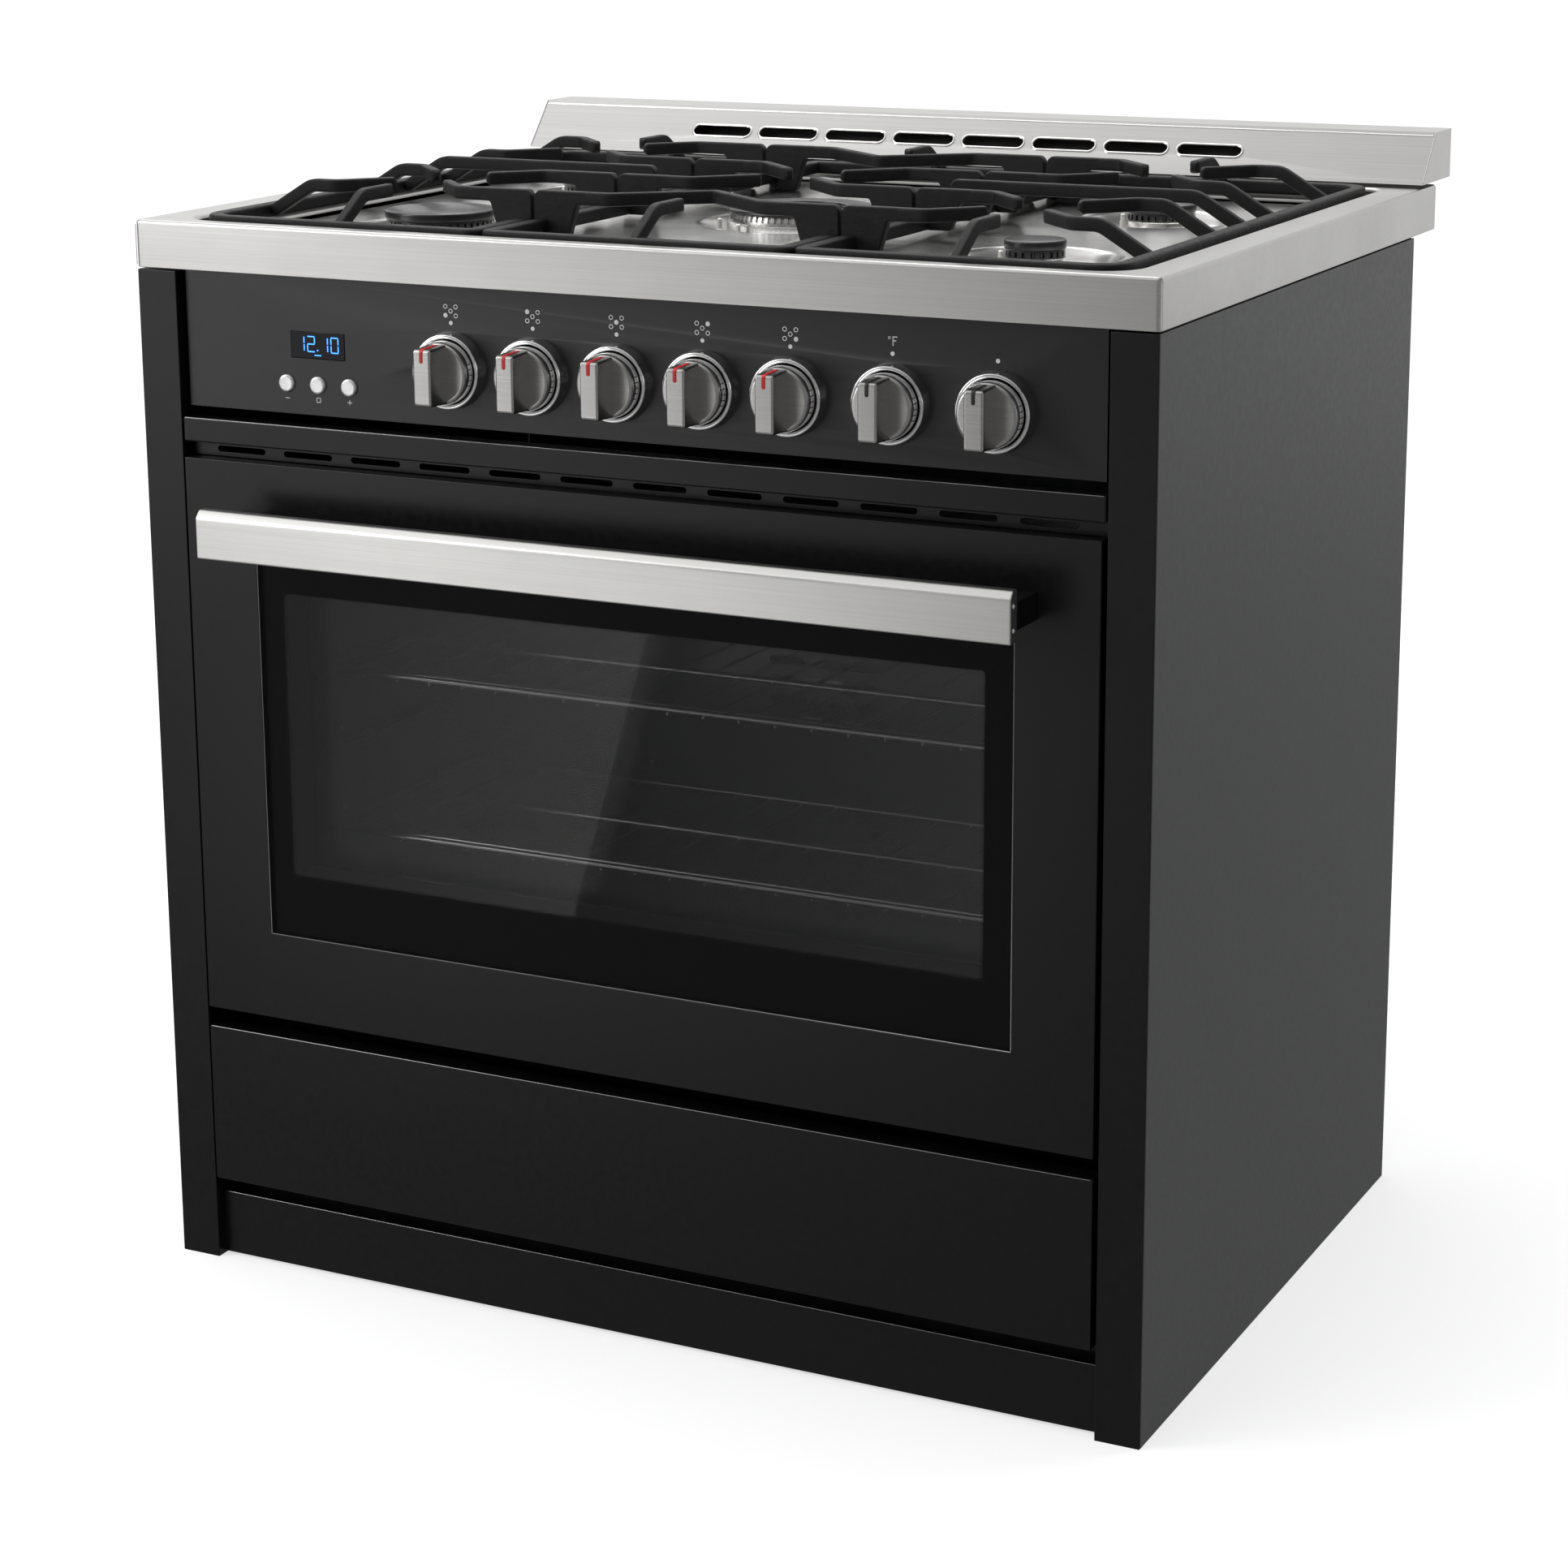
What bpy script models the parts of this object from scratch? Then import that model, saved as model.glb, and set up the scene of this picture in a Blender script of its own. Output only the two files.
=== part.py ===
"""Freestanding five-burner gas range, 0.905 m wide, with oven, drawer and backguard.

Frame: metres, +Z up, +X to the cook's right, -Y towards the cook.  The origin is on
the floor under the centre of the whole appliance.  Depths in this file are measured
from the plane of the corner posts' front faces and go through dep() into world Y.
"""
import bmesh
import bpy
from math import cos, pi, sin
from mathutils import Matrix, Vector

# ------------------------------------------------------------------ driving dimensions
WIDTH = 0.905                 # cooktop, side to side
HALF = WIDTH / 2
COOKTOP_Z = 0.914             # counter height
FASCIA = 0.0396               # height of the cooktop's front edge
COOKTOP_DEPTH = 0.688
BODY_HALF = 0.4517            # outer face of a side panel
BODY_DEPTH = 0.6265
POST_TOP = 0.8729
POST_IN = 0.4138              # inner edge of a corner post
FRONT = -0.33425              # world Y of the posts' front plane
SHEET = 0.0015
GAP = 0.0003

WELL_HALF, WELL_Y0, WELL_Y1, WELL_R, WELL_Z = 0.419, 0.020, 0.643, 0.030, 0.898
GRATE_HALF, GRATE_Y0, GRATE_Y1 = 0.411, 0.027, 0.637
JOINT_IN, JOINT_OUT = 0.1385, 0.1405      # the centre and outer grates meet here
RAIL_W, RAIL_Z0, RAIL_Z1 = 0.013, 0.9055, 0.917
FINGER_T, FINGER_Z0, GRATE_TOP = 0.0085, 0.929, 0.940
BURNER_X, BURNER_Y0, BURNER_Y1, WOK_Y = 0.2745, 0.192, 0.472, 0.332
DISH_Z, WOK_DISH_Z = 0.884, 0.879

PANEL_D, PANEL_Z0, PANEL_Z1, PANEL_HALF = 0.008, 0.760, 0.879, 0.4095
KNOB_Z = 0.806
KNOB_X = [-0.1525 + 0.0757 * k for k in range(5)] + [0.2360, 0.3220]
BUTTON_X, BUTTON_Z, BUTTON_R = (-0.3118, -0.2815, -0.2512), 0.7852, 0.0073

DOOR_HALF, DOOR_Z0, DOOR_Z1 = 0.4105, 0.234, 0.7175
DOOR_FRONT, DOOR_BACK = -0.003, 0.0368
HINGE_D, HINGE_Z = 0.025, 0.259
GLASS_HALF, GLASS_Z0, GLASS_Z1 = 0.3417, 0.310, 0.655
WINDOW_HALF, WINDOW_Z0, WINDOW_Z1 = 0.3165, 0.3647, 0.609

CAVITY_HALF, CAVITY_Z0, CAVITY_Z1 = 0.345, 0.318, 0.668
CAVITY_D0, CAVITY_D1 = 0.045, 0.400
RACK_LEVELS = (0.3825, 0.4545, 0.5245)

DRAWER_Z0, DRAWER_Z1 = 0.076, 0.217

for old in list(bpy.data.objects):
    bpy.data.objects.remove(old, do_unlink=True)


# ----------------------------------------------------------------------------- helpers
def dep(depth):
    """World Y of a point `depth` metres behind the posts' front plane."""
    return FRONT + depth


def material(name, colour, rough, metal):
    """Plain Principled BSDF material."""
    mat = bpy.data.materials.new(name)
    mat.use_nodes = True
    bsdf = mat.node_tree.nodes["Principled BSDF"]
    bsdf.inputs["Base Color"].default_value = (*colour, 1.0)
    bsdf.inputs["Roughness"].default_value = rough
    bsdf.inputs["Metallic"].default_value = metal
    return mat


FINISH = {
    "steel": ((0.62, 0.62, 0.61), 0.32, 1.0),
    "chrome": ((0.78, 0.78, 0.78), 0.12, 1.0),
    "iron": ((0.030, 0.030, 0.030), 0.65, 0.0),
    "black": ((0.022, 0.022, 0.023), 0.35, 0.0),
    "grey": ((0.085, 0.085, 0.088), 0.45, 0.0),
    "zinc": ((0.45, 0.46, 0.46), 0.45, 1.0),
    "enamel": ((0.045, 0.047, 0.052), 0.25, 0.0),
    "glass": ((0.015, 0.015, 0.016), 0.05, 0.0),
    "rubber": ((0.05, 0.05, 0.05), 0.80, 0.0),
    "white": ((0.80, 0.80, 0.80), 0.30, 0.0),
}


def finish_object(name, bm, finish, origin=(0, 0, 0), smooth=True):
    """Make the named object from world-space geometry, with its origin at `origin`."""
    bmesh.ops.recalc_face_normals(bm, faces=bm.faces)
    bmesh.ops.translate(bm, verts=bm.verts, vec=-Vector(origin))
    mesh = bpy.data.meshes.new(name)
    bm.to_mesh(mesh)
    bm.free()
    obj = bpy.data.objects.new(name, mesh)
    obj.location = origin
    bpy.context.scene.collection.objects.link(obj)
    mesh.materials.append(material(name, *FINISH[finish]))
    if smooth:
        mesh.shade_smooth()
        mesh.set_sharp_from_angle(angle=0.6)
    return obj


def add_prism(bm, outline, axis, low, high):
    """Extrude a closed 2D outline along X, Y or Z between two stations.

    The outline's coordinates are (y, z) for X, (x, z) for Y and (x, y) for Z.
    """
    def place(point, station):
        u, v = point
        return {"x": (station, u, v), "y": (u, station, v), "z": (u, v, station)}[axis]
    lower = [bm.verts.new(place(p, low)) for p in outline]
    upper = [bm.verts.new(place(p, high)) for p in outline]
    bm.faces.new(lower)
    bm.faces.new(upper[::-1])
    count = len(outline)
    for i in range(count):
        j = (i + 1) % count
        bm.faces.new((lower[i], upper[i], upper[j], lower[j]))


def add_box(bm, x0, x1, y0, y1, z0, z1):
    """Axis-aligned box."""
    add_prism(bm, [(x0, y0), (x1, y0), (x1, y1), (x0, y1)], "z", z0, z1)


def add_turned(bm, profile, centre, axis="z", sides=28):
    """Solid of revolution: profile of (radius, height) from bottom pole to top pole."""
    rings = []
    for radius, height in profile:
        ring = []
        steps = 1 if radius == 0 else sides
        for k in range(steps):
            a = 2 * pi * k / sides
            u, v = radius * cos(a), radius * sin(a)
            offset = (u, v, height) if axis == "z" else (u, -height, v)
            ring.append(bm.verts.new(Vector(centre) + Vector(offset)))
        rings.append(ring)
    for low, high in zip(rings, rings[1:]):
        for k in range(sides):
            m = (k + 1) % sides
            quad = [low[k % len(low)], low[m % len(low)], high[m % len(high)], high[k % len(high)]]
            bm.faces.new(list(dict.fromkeys(quad)))


def add_ring(bm, profile, centre, axis="z", sides=28):
    """Closed ring of revolution: profile is a closed loop of (radius, height)."""
    rings = []
    for radius, height in profile:
        ring = []
        for k in range(sides):
            a = 2 * pi * k / sides
            u, v = radius * cos(a), radius * sin(a)
            offset = (u, v, height) if axis == "z" else (u, -height, v)
            ring.append(bm.verts.new(Vector(centre) + Vector(offset)))
        rings.append(ring)
    for low, high in zip(rings, rings[1:] + rings[:1]):
        for k in range(sides):
            m = (k + 1) % sides
            bm.faces.new((low[k], low[m], high[m], high[k]))


def round_rect(x0, x1, y0, y1, radius, steps=5):
    """Outline of a rectangle with rounded corners."""
    points = []
    corners = ((x1, y1, 0, -1, -1), (x0, y1, 1, 1, -1), (x0, y0, 2, 1, 1), (x1, y0, 3, -1, 1))
    for cx, cy, quarter, sx, sy in corners:
        for k in range(steps + 1):
            a = pi / 2 * (quarter + k / steps)
            points.append((cx + sx * radius + radius * cos(a), cy + sy * radius + radius * sin(a)))
    return points


def slot_outline(cx, cy, length, width, steps=4):
    """Outline of a round-ended slot lying along the first axis."""
    return round_rect(cx - length / 2, cx + length / 2, cy - width / 2, cy + width / 2,
                      width / 2 - 1e-5, steps)


def solid(build, *args):
    """Fresh bmesh filled by one builder call."""
    bm = bmesh.new()
    build(bm, *args)
    return bm


def combine(base, others, operation):
    """Boolean (EXACT) of a bmesh with a list of bmeshes, one modifier each."""
    def temp(bm):
        bmesh.ops.recalc_face_normals(bm, faces=bm.faces)
        mesh = bpy.data.meshes.new("temp")
        bm.to_mesh(mesh)
        bm.free()
        obj = bpy.data.objects.new("temp", mesh)
        bpy.context.scene.collection.objects.link(obj)
        return obj
    target = temp(base)
    tools = [temp(bm) for bm in others]
    for tool in tools:
        modifier = target.modifiers.new("cut", "BOOLEAN")
        modifier.operation = operation
        modifier.solver = "EXACT"
        modifier.object = tool
    result = bmesh.new()
    result.from_object(target, bpy.context.evaluated_depsgraph_get())
    for obj in [target] + tools:
        mesh = obj.data
        bpy.data.objects.remove(obj, do_unlink=True)
        bpy.data.meshes.remove(mesh)
    bmesh.ops.dissolve_degenerate(result, edges=result.edges, dist=1e-6)
    return result


def cut(base, *tools):
    """Base minus every tool."""
    return combine(base, list(tools), "DIFFERENCE")


def join(base, *parts):
    """Base and every part as one closed body."""
    return combine(base, list(parts), "UNION")


def box(*limits):
    """Box as its own bmesh: x0, x1, y0, y1, z0, z1."""
    return solid(add_box, *limits)


def prism(outline, axis, low, high):
    """Extruded outline as its own bmesh."""
    return solid(add_prism, outline, axis, low, high)


def sided(name, side):
    """Name of a left (side < 0) or right piece."""
    return name + ("_left" if side < 0 else "_right")


def span(a, b, side):
    """An interval on the +X side, mirrored for the left side."""
    return (a, b) if side > 0 else (-b, -a)


# ------------------------------------------------------------------------------- body
def build_carcass():
    """Side panels, corner posts, floor pan, back panel, kick plate and feet."""
    for side in (-1, 1):
        x0, x1 = span(0.4500, BODY_HALF, side)
        finish_object(sided("side_panel", side),
                      box(x0, x1, dep(0.0018), dep(BODY_DEPTH), 0, POST_TOP), "grey")
        outline = [(POST_IN, 0), (BODY_HALF, 0), (BODY_HALF, SHEET), (0.4497, SHEET),
                   (0.4497, 0.030), (POST_IN, 0.030)]
        outline = [(side * x, dep(y)) for x, y in outline]
        finish_object(sided("corner_post", side), prism(outline, "z", 0, POST_TOP), "black")

    pan = box(-0.4497, 0.4497, dep(0.0303), dep(0.6244), 0.026, 0.048)
    hollow = box(-0.4477, 0.4477, dep(0.0323), dep(0.6224), 0.020, 0.046)
    upstand = box(-0.4490, 0.4490, dep(0.0305), dep(0.0321), 0.040, 0.0745)
    finish_object("base_pan", join(cut(pan, hollow), upstand), "black")
    finish_object("cross_rail", box(-0.4497, 0.4497, dep(0.0580), dep(0.0600), 0.2035, 0.2900), "black")

    back = box(-0.4497, 0.4497, dep(0.6248), dep(0.6262), 0.026, 0.8729)
    port = box(-0.300, 0.300, dep(0.62), dep(0.63), 0.640, 0.770)
    pipe = [(0, -0.030), (0.0085, -0.030), (0.0105, -0.028), (0.0105, -0.010), (0.016, -0.010), (0.016, 0.004),
            (0, 0.004)]
    inlet = solid(add_turned, pipe, (0.330, dep(0.6255), 0.120), "y", 12)
    nut = [(0, -0.016), (0.008, -0.016), (0.011, -0.012), (0.011, 0.004), (0, 0.004)]
    gland = solid(add_turned, nut, (-0.330, dep(0.6255), 0.120), "y", 12)
    finish_object("back_panel", join(cut(back, port), inlet, gland), "zinc")

    finish_object("kick_panel", box(-0.4135, 0.4135, dep(0.010), dep(0.012), 0.002, 0.059), "black")

    foot = [(0, 0), (0.018, 0), (0.018, 0.006), (0.012, 0.009), (0.005, 0.010), (0.005, 0.0457), (0, 0.0457)]
    for end, depth in (("front", 0.075), ("rear", 0.575)):
        for side in (-1, 1):
            bm = bmesh.new()
            add_turned(bm, foot, (side * 0.385, dep(depth), 0), sides=16)
            finish_object(sided("foot_" + end, side), bm, "zinc")


# ---------------------------------------------------------------------------- cooktop
def build_cooktop():
    """Pressed steel top: fascia all round, one recessed well and a dish at each burner."""
    z0, z1 = COOKTOP_Z - FASCIA, COOKTOP_Z
    top = box(-HALF, HALF, dep(0), dep(COOKTOP_DEPTH), z0, z1)
    t = SHEET
    under = box(-HALF + t, HALF - t, dep(t), dep(COOKTOP_DEPTH - t), z0 - 0.01, z1 - t)
    top = cut(top, under)
    well = (-WELL_HALF - t, WELL_HALF + t, dep(WELL_Y0 - t), dep(WELL_Y1 + t), WELL_R + t)
    top = join(top, prism(round_rect(*well), "z", WELL_Z - t, z1 - t / 2))
    dishes = [(sx * BURNER_X, y, 0.068, DISH_Z) for sx in (-1, 1) for y in (BURNER_Y0, BURNER_Y1)]
    dishes.append((0, WOK_Y, 0.088, WOK_DISH_Z))
    outer, inner = [], []
    for x, y, radius, floor in dishes:
        bowl = [(0, floor - t), (radius - 0.008, floor - t), (radius + t, WELL_Z - t / 2), (0, WELL_Z - t / 2)]
        hollow = [(0, floor), (radius - 0.009, floor), (radius, WELL_Z), (radius, WELL_Z + 0.004),
                  (0, WELL_Z + 0.004)]
        outer.append(solid(add_turned, bowl, (x, dep(y), 0)))
        inner.append(solid(add_turned, hollow, (x, dep(y), 0)))
    top = join(top, *outer)
    rim = round_rect(-WELL_HALF, WELL_HALF, dep(WELL_Y0), dep(WELL_Y1), WELL_R)
    inside = prism(rim, "z", WELL_Z, z1 + 0.01)
    holes = [solid(add_turned, [(0, 0.86), (radius, 0.86), (radius, 0.90), (0, 0.90)], (x, dep(y), 0))
             for x, y, radius in throat_holes()]
    flue = box(-0.33, 0.33, dep(0.655), dep(0.680), z1 - 0.02, z1 + 0.01)
    finish_object("cooktop", cut(top, inside, *inner, *holes, flue), "steel")


BURNERS = {
    "front_left": (-BURNER_X, BURNER_Y0, 0.0475, 0.9110),
    "rear_left": (-BURNER_X, BURNER_Y1, 0.0360, 0.9115),
    "front_right": (BURNER_X, BURNER_Y0, 0.0247, 0.9120),
    "rear_right": (BURNER_X, BURNER_Y1, 0.0300, 0.9115),
}


def throat_holes():
    """Centre and radius of the hole under each burner."""
    holes = [(x, y, radius * 0.6 + GAP) for x, y, radius, _ in BURNERS.values()]
    return holes + [(0, WOK_Y, 0.0440 + GAP)]


def build_burners():
    """Steel burner heads standing in the dishes, each with its loose enamelled cap."""
    for place, (x, y, radius, top) in BURNERS.items():
        centre = (x, dep(y), 0)
        throat = radius * 0.6
        head_top = top - 0.0075
        profile = [(0, 0.866), (throat, 0.866), (throat, DISH_Z + GAP), (radius + 0.002, DISH_Z + GAP),
                   (radius + 0.002, DISH_Z + 0.003), (radius - 0.003, DISH_Z + 0.005),
                   (radius - 0.001, head_top - 0.010), (radius - 0.001, head_top), (0, head_top)]
        finish_object("burner_head_" + place, solid(add_turned, profile, centre), "steel")
        cap = [(0, head_top + GAP), (radius - 0.001, head_top + GAP), (radius, top - 0.0015),
               (radius - 0.0015, top), (0, top + 0.0004)]
        finish_object("burner_cap_" + place, solid(add_turned, cap, centre), "iron")

    centre = (0, dep(WOK_Y), 0)
    floor = WOK_DISH_Z + GAP
    crown = [(0, 0.866), (0.044, 0.866), (0.044, floor), (0.0505, floor), (0.0495, 0.8905), (0.0639, 0.8908),
             (0.0632, 0.8995), (0.0605, 0.9072), (0.0435, 0.9072), (0.0405, 0.9000), (0.0215, 0.9000),
             (0.0180, 0.9072), (0, 0.9072)]
    finish_object("burner_head_wok", solid(add_turned, crown, centre, "z", 32), "steel")
    ring = [(0.0397, 0.9075), (0.0620, 0.9075), (0.0634, 0.9093), (0.0620, 0.9112), (0.0397, 0.9112)]
    finish_object("burner_cap_wok_ring", solid(add_ring, ring, centre, "z", 32), "iron")
    inner = [(0, 0.9075), (0.0175, 0.9075), (0.0183, 0.9093), (0.0175, 0.9112), (0, 0.9114)]
    finish_object("burner_cap_wok_inner", solid(add_turned, inner, centre, "z", 24), "iron")


# ----------------------------------------------------------------------------- grates
def ribbon(path, width):
    """Outline of a bar of constant width along a path of 2D points (mitred bends)."""
    left, right = [], []
    for i, point in enumerate(path):
        before = Vector(point) - Vector(path[i - 1]) if i else None
        after = Vector(path[i + 1]) - Vector(point) if i + 1 < len(path) else None
        d1 = (before or after).normalized()
        d2 = (after or before).normalized()
        n1, n2 = Vector((-d1.y, d1.x)), Vector((-d2.y, d2.x))
        normal = (n1 + n2).normalized()
        reach = width / 2 / normal.dot(n1)
        left.append(tuple(Vector(point) + normal * reach))
        right.append(tuple(Vector(point) - normal * reach))
    return left + right[::-1]


def finger(path):
    """Horizontal arm of a grate finger, following a plan path of (x, depth)."""
    return prism(ribbon([(x, dep(y)) for x, y in path], FINGER_T), "z", FINGER_Z0, GRATE_TOP)


def upright(x_end, inward, y, foot):
    """Leg plate of a finger at a joint rail; a foot reaches down to the well's floor."""
    low = RAIL_Z0 + 0.002
    outline = [(0, low), (0, GRATE_TOP - 0.003), (0.003, GRATE_TOP - 0.0002), (0.048, GRATE_TOP - 0.0002),
               (0.048, FINGER_Z0 + 0.001), (0.040, FINGER_Z0 + 0.001)]
    outline += [(0.030, WELL_Z + GAP), (0.014, WELL_Z + GAP), (0.012, low)] if foot else [(0.030, low)]
    points = [(x_end + inward * u, z) for u, z in outline]
    half = FINGER_T / 2 - 0.0001
    return prism(points, "y", dep(y) - half, dep(y) + half)


def ramp(base, top, across, axis, foot_at=None):
    """Sloping leg from the frame rail (base) up to the finger's bend (top)."""
    run = 1 if top > base else -1
    thick = 0.0125 * run
    points = [(base - thick * 0.8, RAIL_Z0 + 0.001), (base - thick * 0.8, RAIL_Z1 - 0.001),
              (base, RAIL_Z1 - 0.001), (top, GRATE_TOP - 0.0002), (top + run * 0.016, GRATE_TOP - 0.0002),
              (top + run * 0.016, FINGER_Z0 + 0.001), (top + run * 0.004, FINGER_Z0 + 0.001),
              (base + thick * 0.95, RAIL_Z0 + 0.001)]
    half = FINGER_T / 2 - 0.0001
    if axis == "x":
        return prism([(dep(u), z) for u, z in points], "x", across - half, across + half)
    return prism(points, "y", dep(across) - half, dep(across) + half)


def grate_frame(x0, x1, radii):
    """Rounded ring of the frame rail with its four feet on the well's floor."""
    y0, y1 = dep(GRATE_Y0), dep(GRATE_Y1)
    outer = round_rect_radii(x0, x1, y0, y1, radii)
    inner_radii = [max(r - RAIL_W, 0.003) for r in radii]
    inner = round_rect_radii(x0 + RAIL_W, x1 - RAIL_W, y0 + RAIL_W, y1 - RAIL_W, inner_radii)
    ring = cut(prism(outer, "z", RAIL_Z0, RAIL_Z1), prism(inner, "z", RAIL_Z0 - 0.01, RAIL_Z1 + 0.01))
    feet = [box(x - 0.005, x + 0.005, y - 0.006, y + 0.006, WELL_Z + GAP, RAIL_Z0 + 0.002)
            for x in (x0 + 0.0066, x1 - 0.0066) for y in (y0 + 0.060, y1 - 0.060)]
    return ring, feet


def round_rect_radii(x0, x1, y0, y1, radii, steps=3):
    """Rounded rectangle with its own radius at each corner: +X+Y, -X+Y, -X-Y, +X-Y."""
    points = []
    corners = ((x1, y1, 0, -1, -1), (x0, y1, 1, 1, -1), (x0, y0, 2, 1, 1), (x1, y0, 3, -1, 1))
    for (cx, cy, quarter, sx, sy), radius in zip(corners, radii):
        for k in range(steps + 1):
            a = pi / 2 * (quarter + k / steps)
            points.append((cx + sx * radius + radius * cos(a), cy + sy * radius + radius * sin(a)))
    return points


FIN_ROWS = (0.122, 0.262, 0.402, 0.542)
BURNER_OF_ROW = (BURNER_Y0, BURNER_Y0, BURNER_Y1, BURNER_Y1)


def build_outer_grate(side):
    """Outer grate: ten fingers round two burners and a long bar between them."""
    x0, x1 = span(JOINT_OUT, GRATE_HALF, side)
    big, small = 0.026, 0.006
    radii = [big, small, small, big] if side > 0 else [small, big, big, small]
    ring, parts = grate_frame(x0, x1, radii)
    joint, outer = side * (JOINT_OUT + 0.0008), side * (GRATE_HALF - 0.020)
    for row, centre in zip(FIN_ROWS, BURNER_OF_ROW):
        turn = 0.036 if centre > row else -0.036
        foot = row in (FIN_ROWS[0], FIN_ROWS[3])
        parts.append(upright(joint, side, row, foot))
        parts.append(finger([(joint + side * 0.040, row), (side * 0.211, row), (side * 0.2455, row + turn)]))
        parts.append(ramp(outer, side * 0.355, row, "y"))
        parts.append(finger([(side * 0.354, row), (side * 0.334, row), (side * 0.2995, row + turn)]))
    parts.append(upright(joint, side, WOK_Y, False))
    parts.append(finger([(joint + side * 0.030, WOK_Y), (side * 0.354, WOK_Y)]))
    parts.append(ramp(outer, side * 0.355, WOK_Y, "y"))
    for base, top, tip in ((0.040, 0.074, 0.112), (0.624, 0.590, 0.552)):
        parts.append(ramp(base, top, side * BURNER_X, "x"))
        parts.append(finger([(side * BURNER_X, top), (side * BURNER_X, tip)]))
    finish_object(sided("grate", side), join(ring, *parts), "iron")


def build_centre_grate():
    """Centre grate: two bowed bars and six fingers round the wok burner."""
    ring, parts = grate_frame(-JOINT_IN, JOINT_IN, [0.006] * 4)
    for side in (-1, 1):
        joint = side * (JOINT_IN - 0.0008)
        for row, foot in zip(FIN_ROWS, (True, False, False, True)):
            parts.append(upright(joint, -side, row, foot))
        for row, turn in ((FIN_ROWS[1], 0.041), (FIN_ROWS[2], -0.041)):
            parts.append(finger([(side * 0.100, row), (side * 0.069, row), (side * 0.0265, row + turn)]))
    for row, apex in ((FIN_ROWS[0], 0.175), (FIN_ROWS[3], 0.489)):
        bowed = [(-0.100, row), (-0.070, row), (-0.004, apex), (0.004, apex), (0.070, row), (0.100, row)]
        parts.append(finger(bowed))
    for base, top, tip in ((0.040, 0.074, 0.112), (0.624, 0.590, 0.552)):
        parts.append(ramp(base, top, 0, "x"))
        parts.append(finger([(0, top), (0, tip)]))
    finish_object("grate_center", join(ring, *parts), "iron")


# -------------------------------------------------------------------------- backguard
def build_backguard():
    """Low vent hood behind the burners, and the flue duct that feeds it."""
    t = SHEET
    outer = [(0.644, 0.917), (0.681, 0.960), (0.727, 0.960), (0.727, 0.917)]
    inner = [(0.6464, 0.910), (0.6464, 0.917), (0.6817, 0.960 - t), (0.727 - t, 0.960 - t),
             (0.727 - t, 0.910)]
    shell = cut(prism([(dep(y), z) for y, z in outer], "x", -HALF, HALF),
                prism([(dep(y), z) for y, z in inner], "x", -HALF + t, HALF - t))
    slots = []
    for k in range(8):
        x = 0.0709 * (k - 3.5)
        slots.append(prism([(u, v) for u, v in slot_outline(x, 0.9382, 0.0625, 0.0098)], "y",
                           dep(0.640), dep(0.678)))
    finish_object("backguard", cut(shell, *slots), "steel")

    duct = [(0.6266, 0.620), (0.7245, 0.620), (0.7245, 0.954), (0.690, 0.954), (0.662, 0.9215),
            (0.662, 0.9175), (0.6885, 0.9175), (0.6885, 0.850), (0.6266, 0.790)]
    hole = [(0.620, 0.6215), (0.723, 0.6215), (0.723, 0.960), (0.6912, 0.960), (0.6912, 0.9533),
            (0.664, 0.921), (0.664, 0.919), (0.690, 0.919), (0.690, 0.8494), (0.6272, 0.788), (0.620, 0.788)]
    shell = cut(prism([(dep(y), z) for y, z in duct], "x", -0.330, 0.330),
                prism([(dep(y), z) for y, z in hole], "x", -0.3285, 0.3285))
    finish_object("flue_duct", shell, "zinc")


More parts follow.
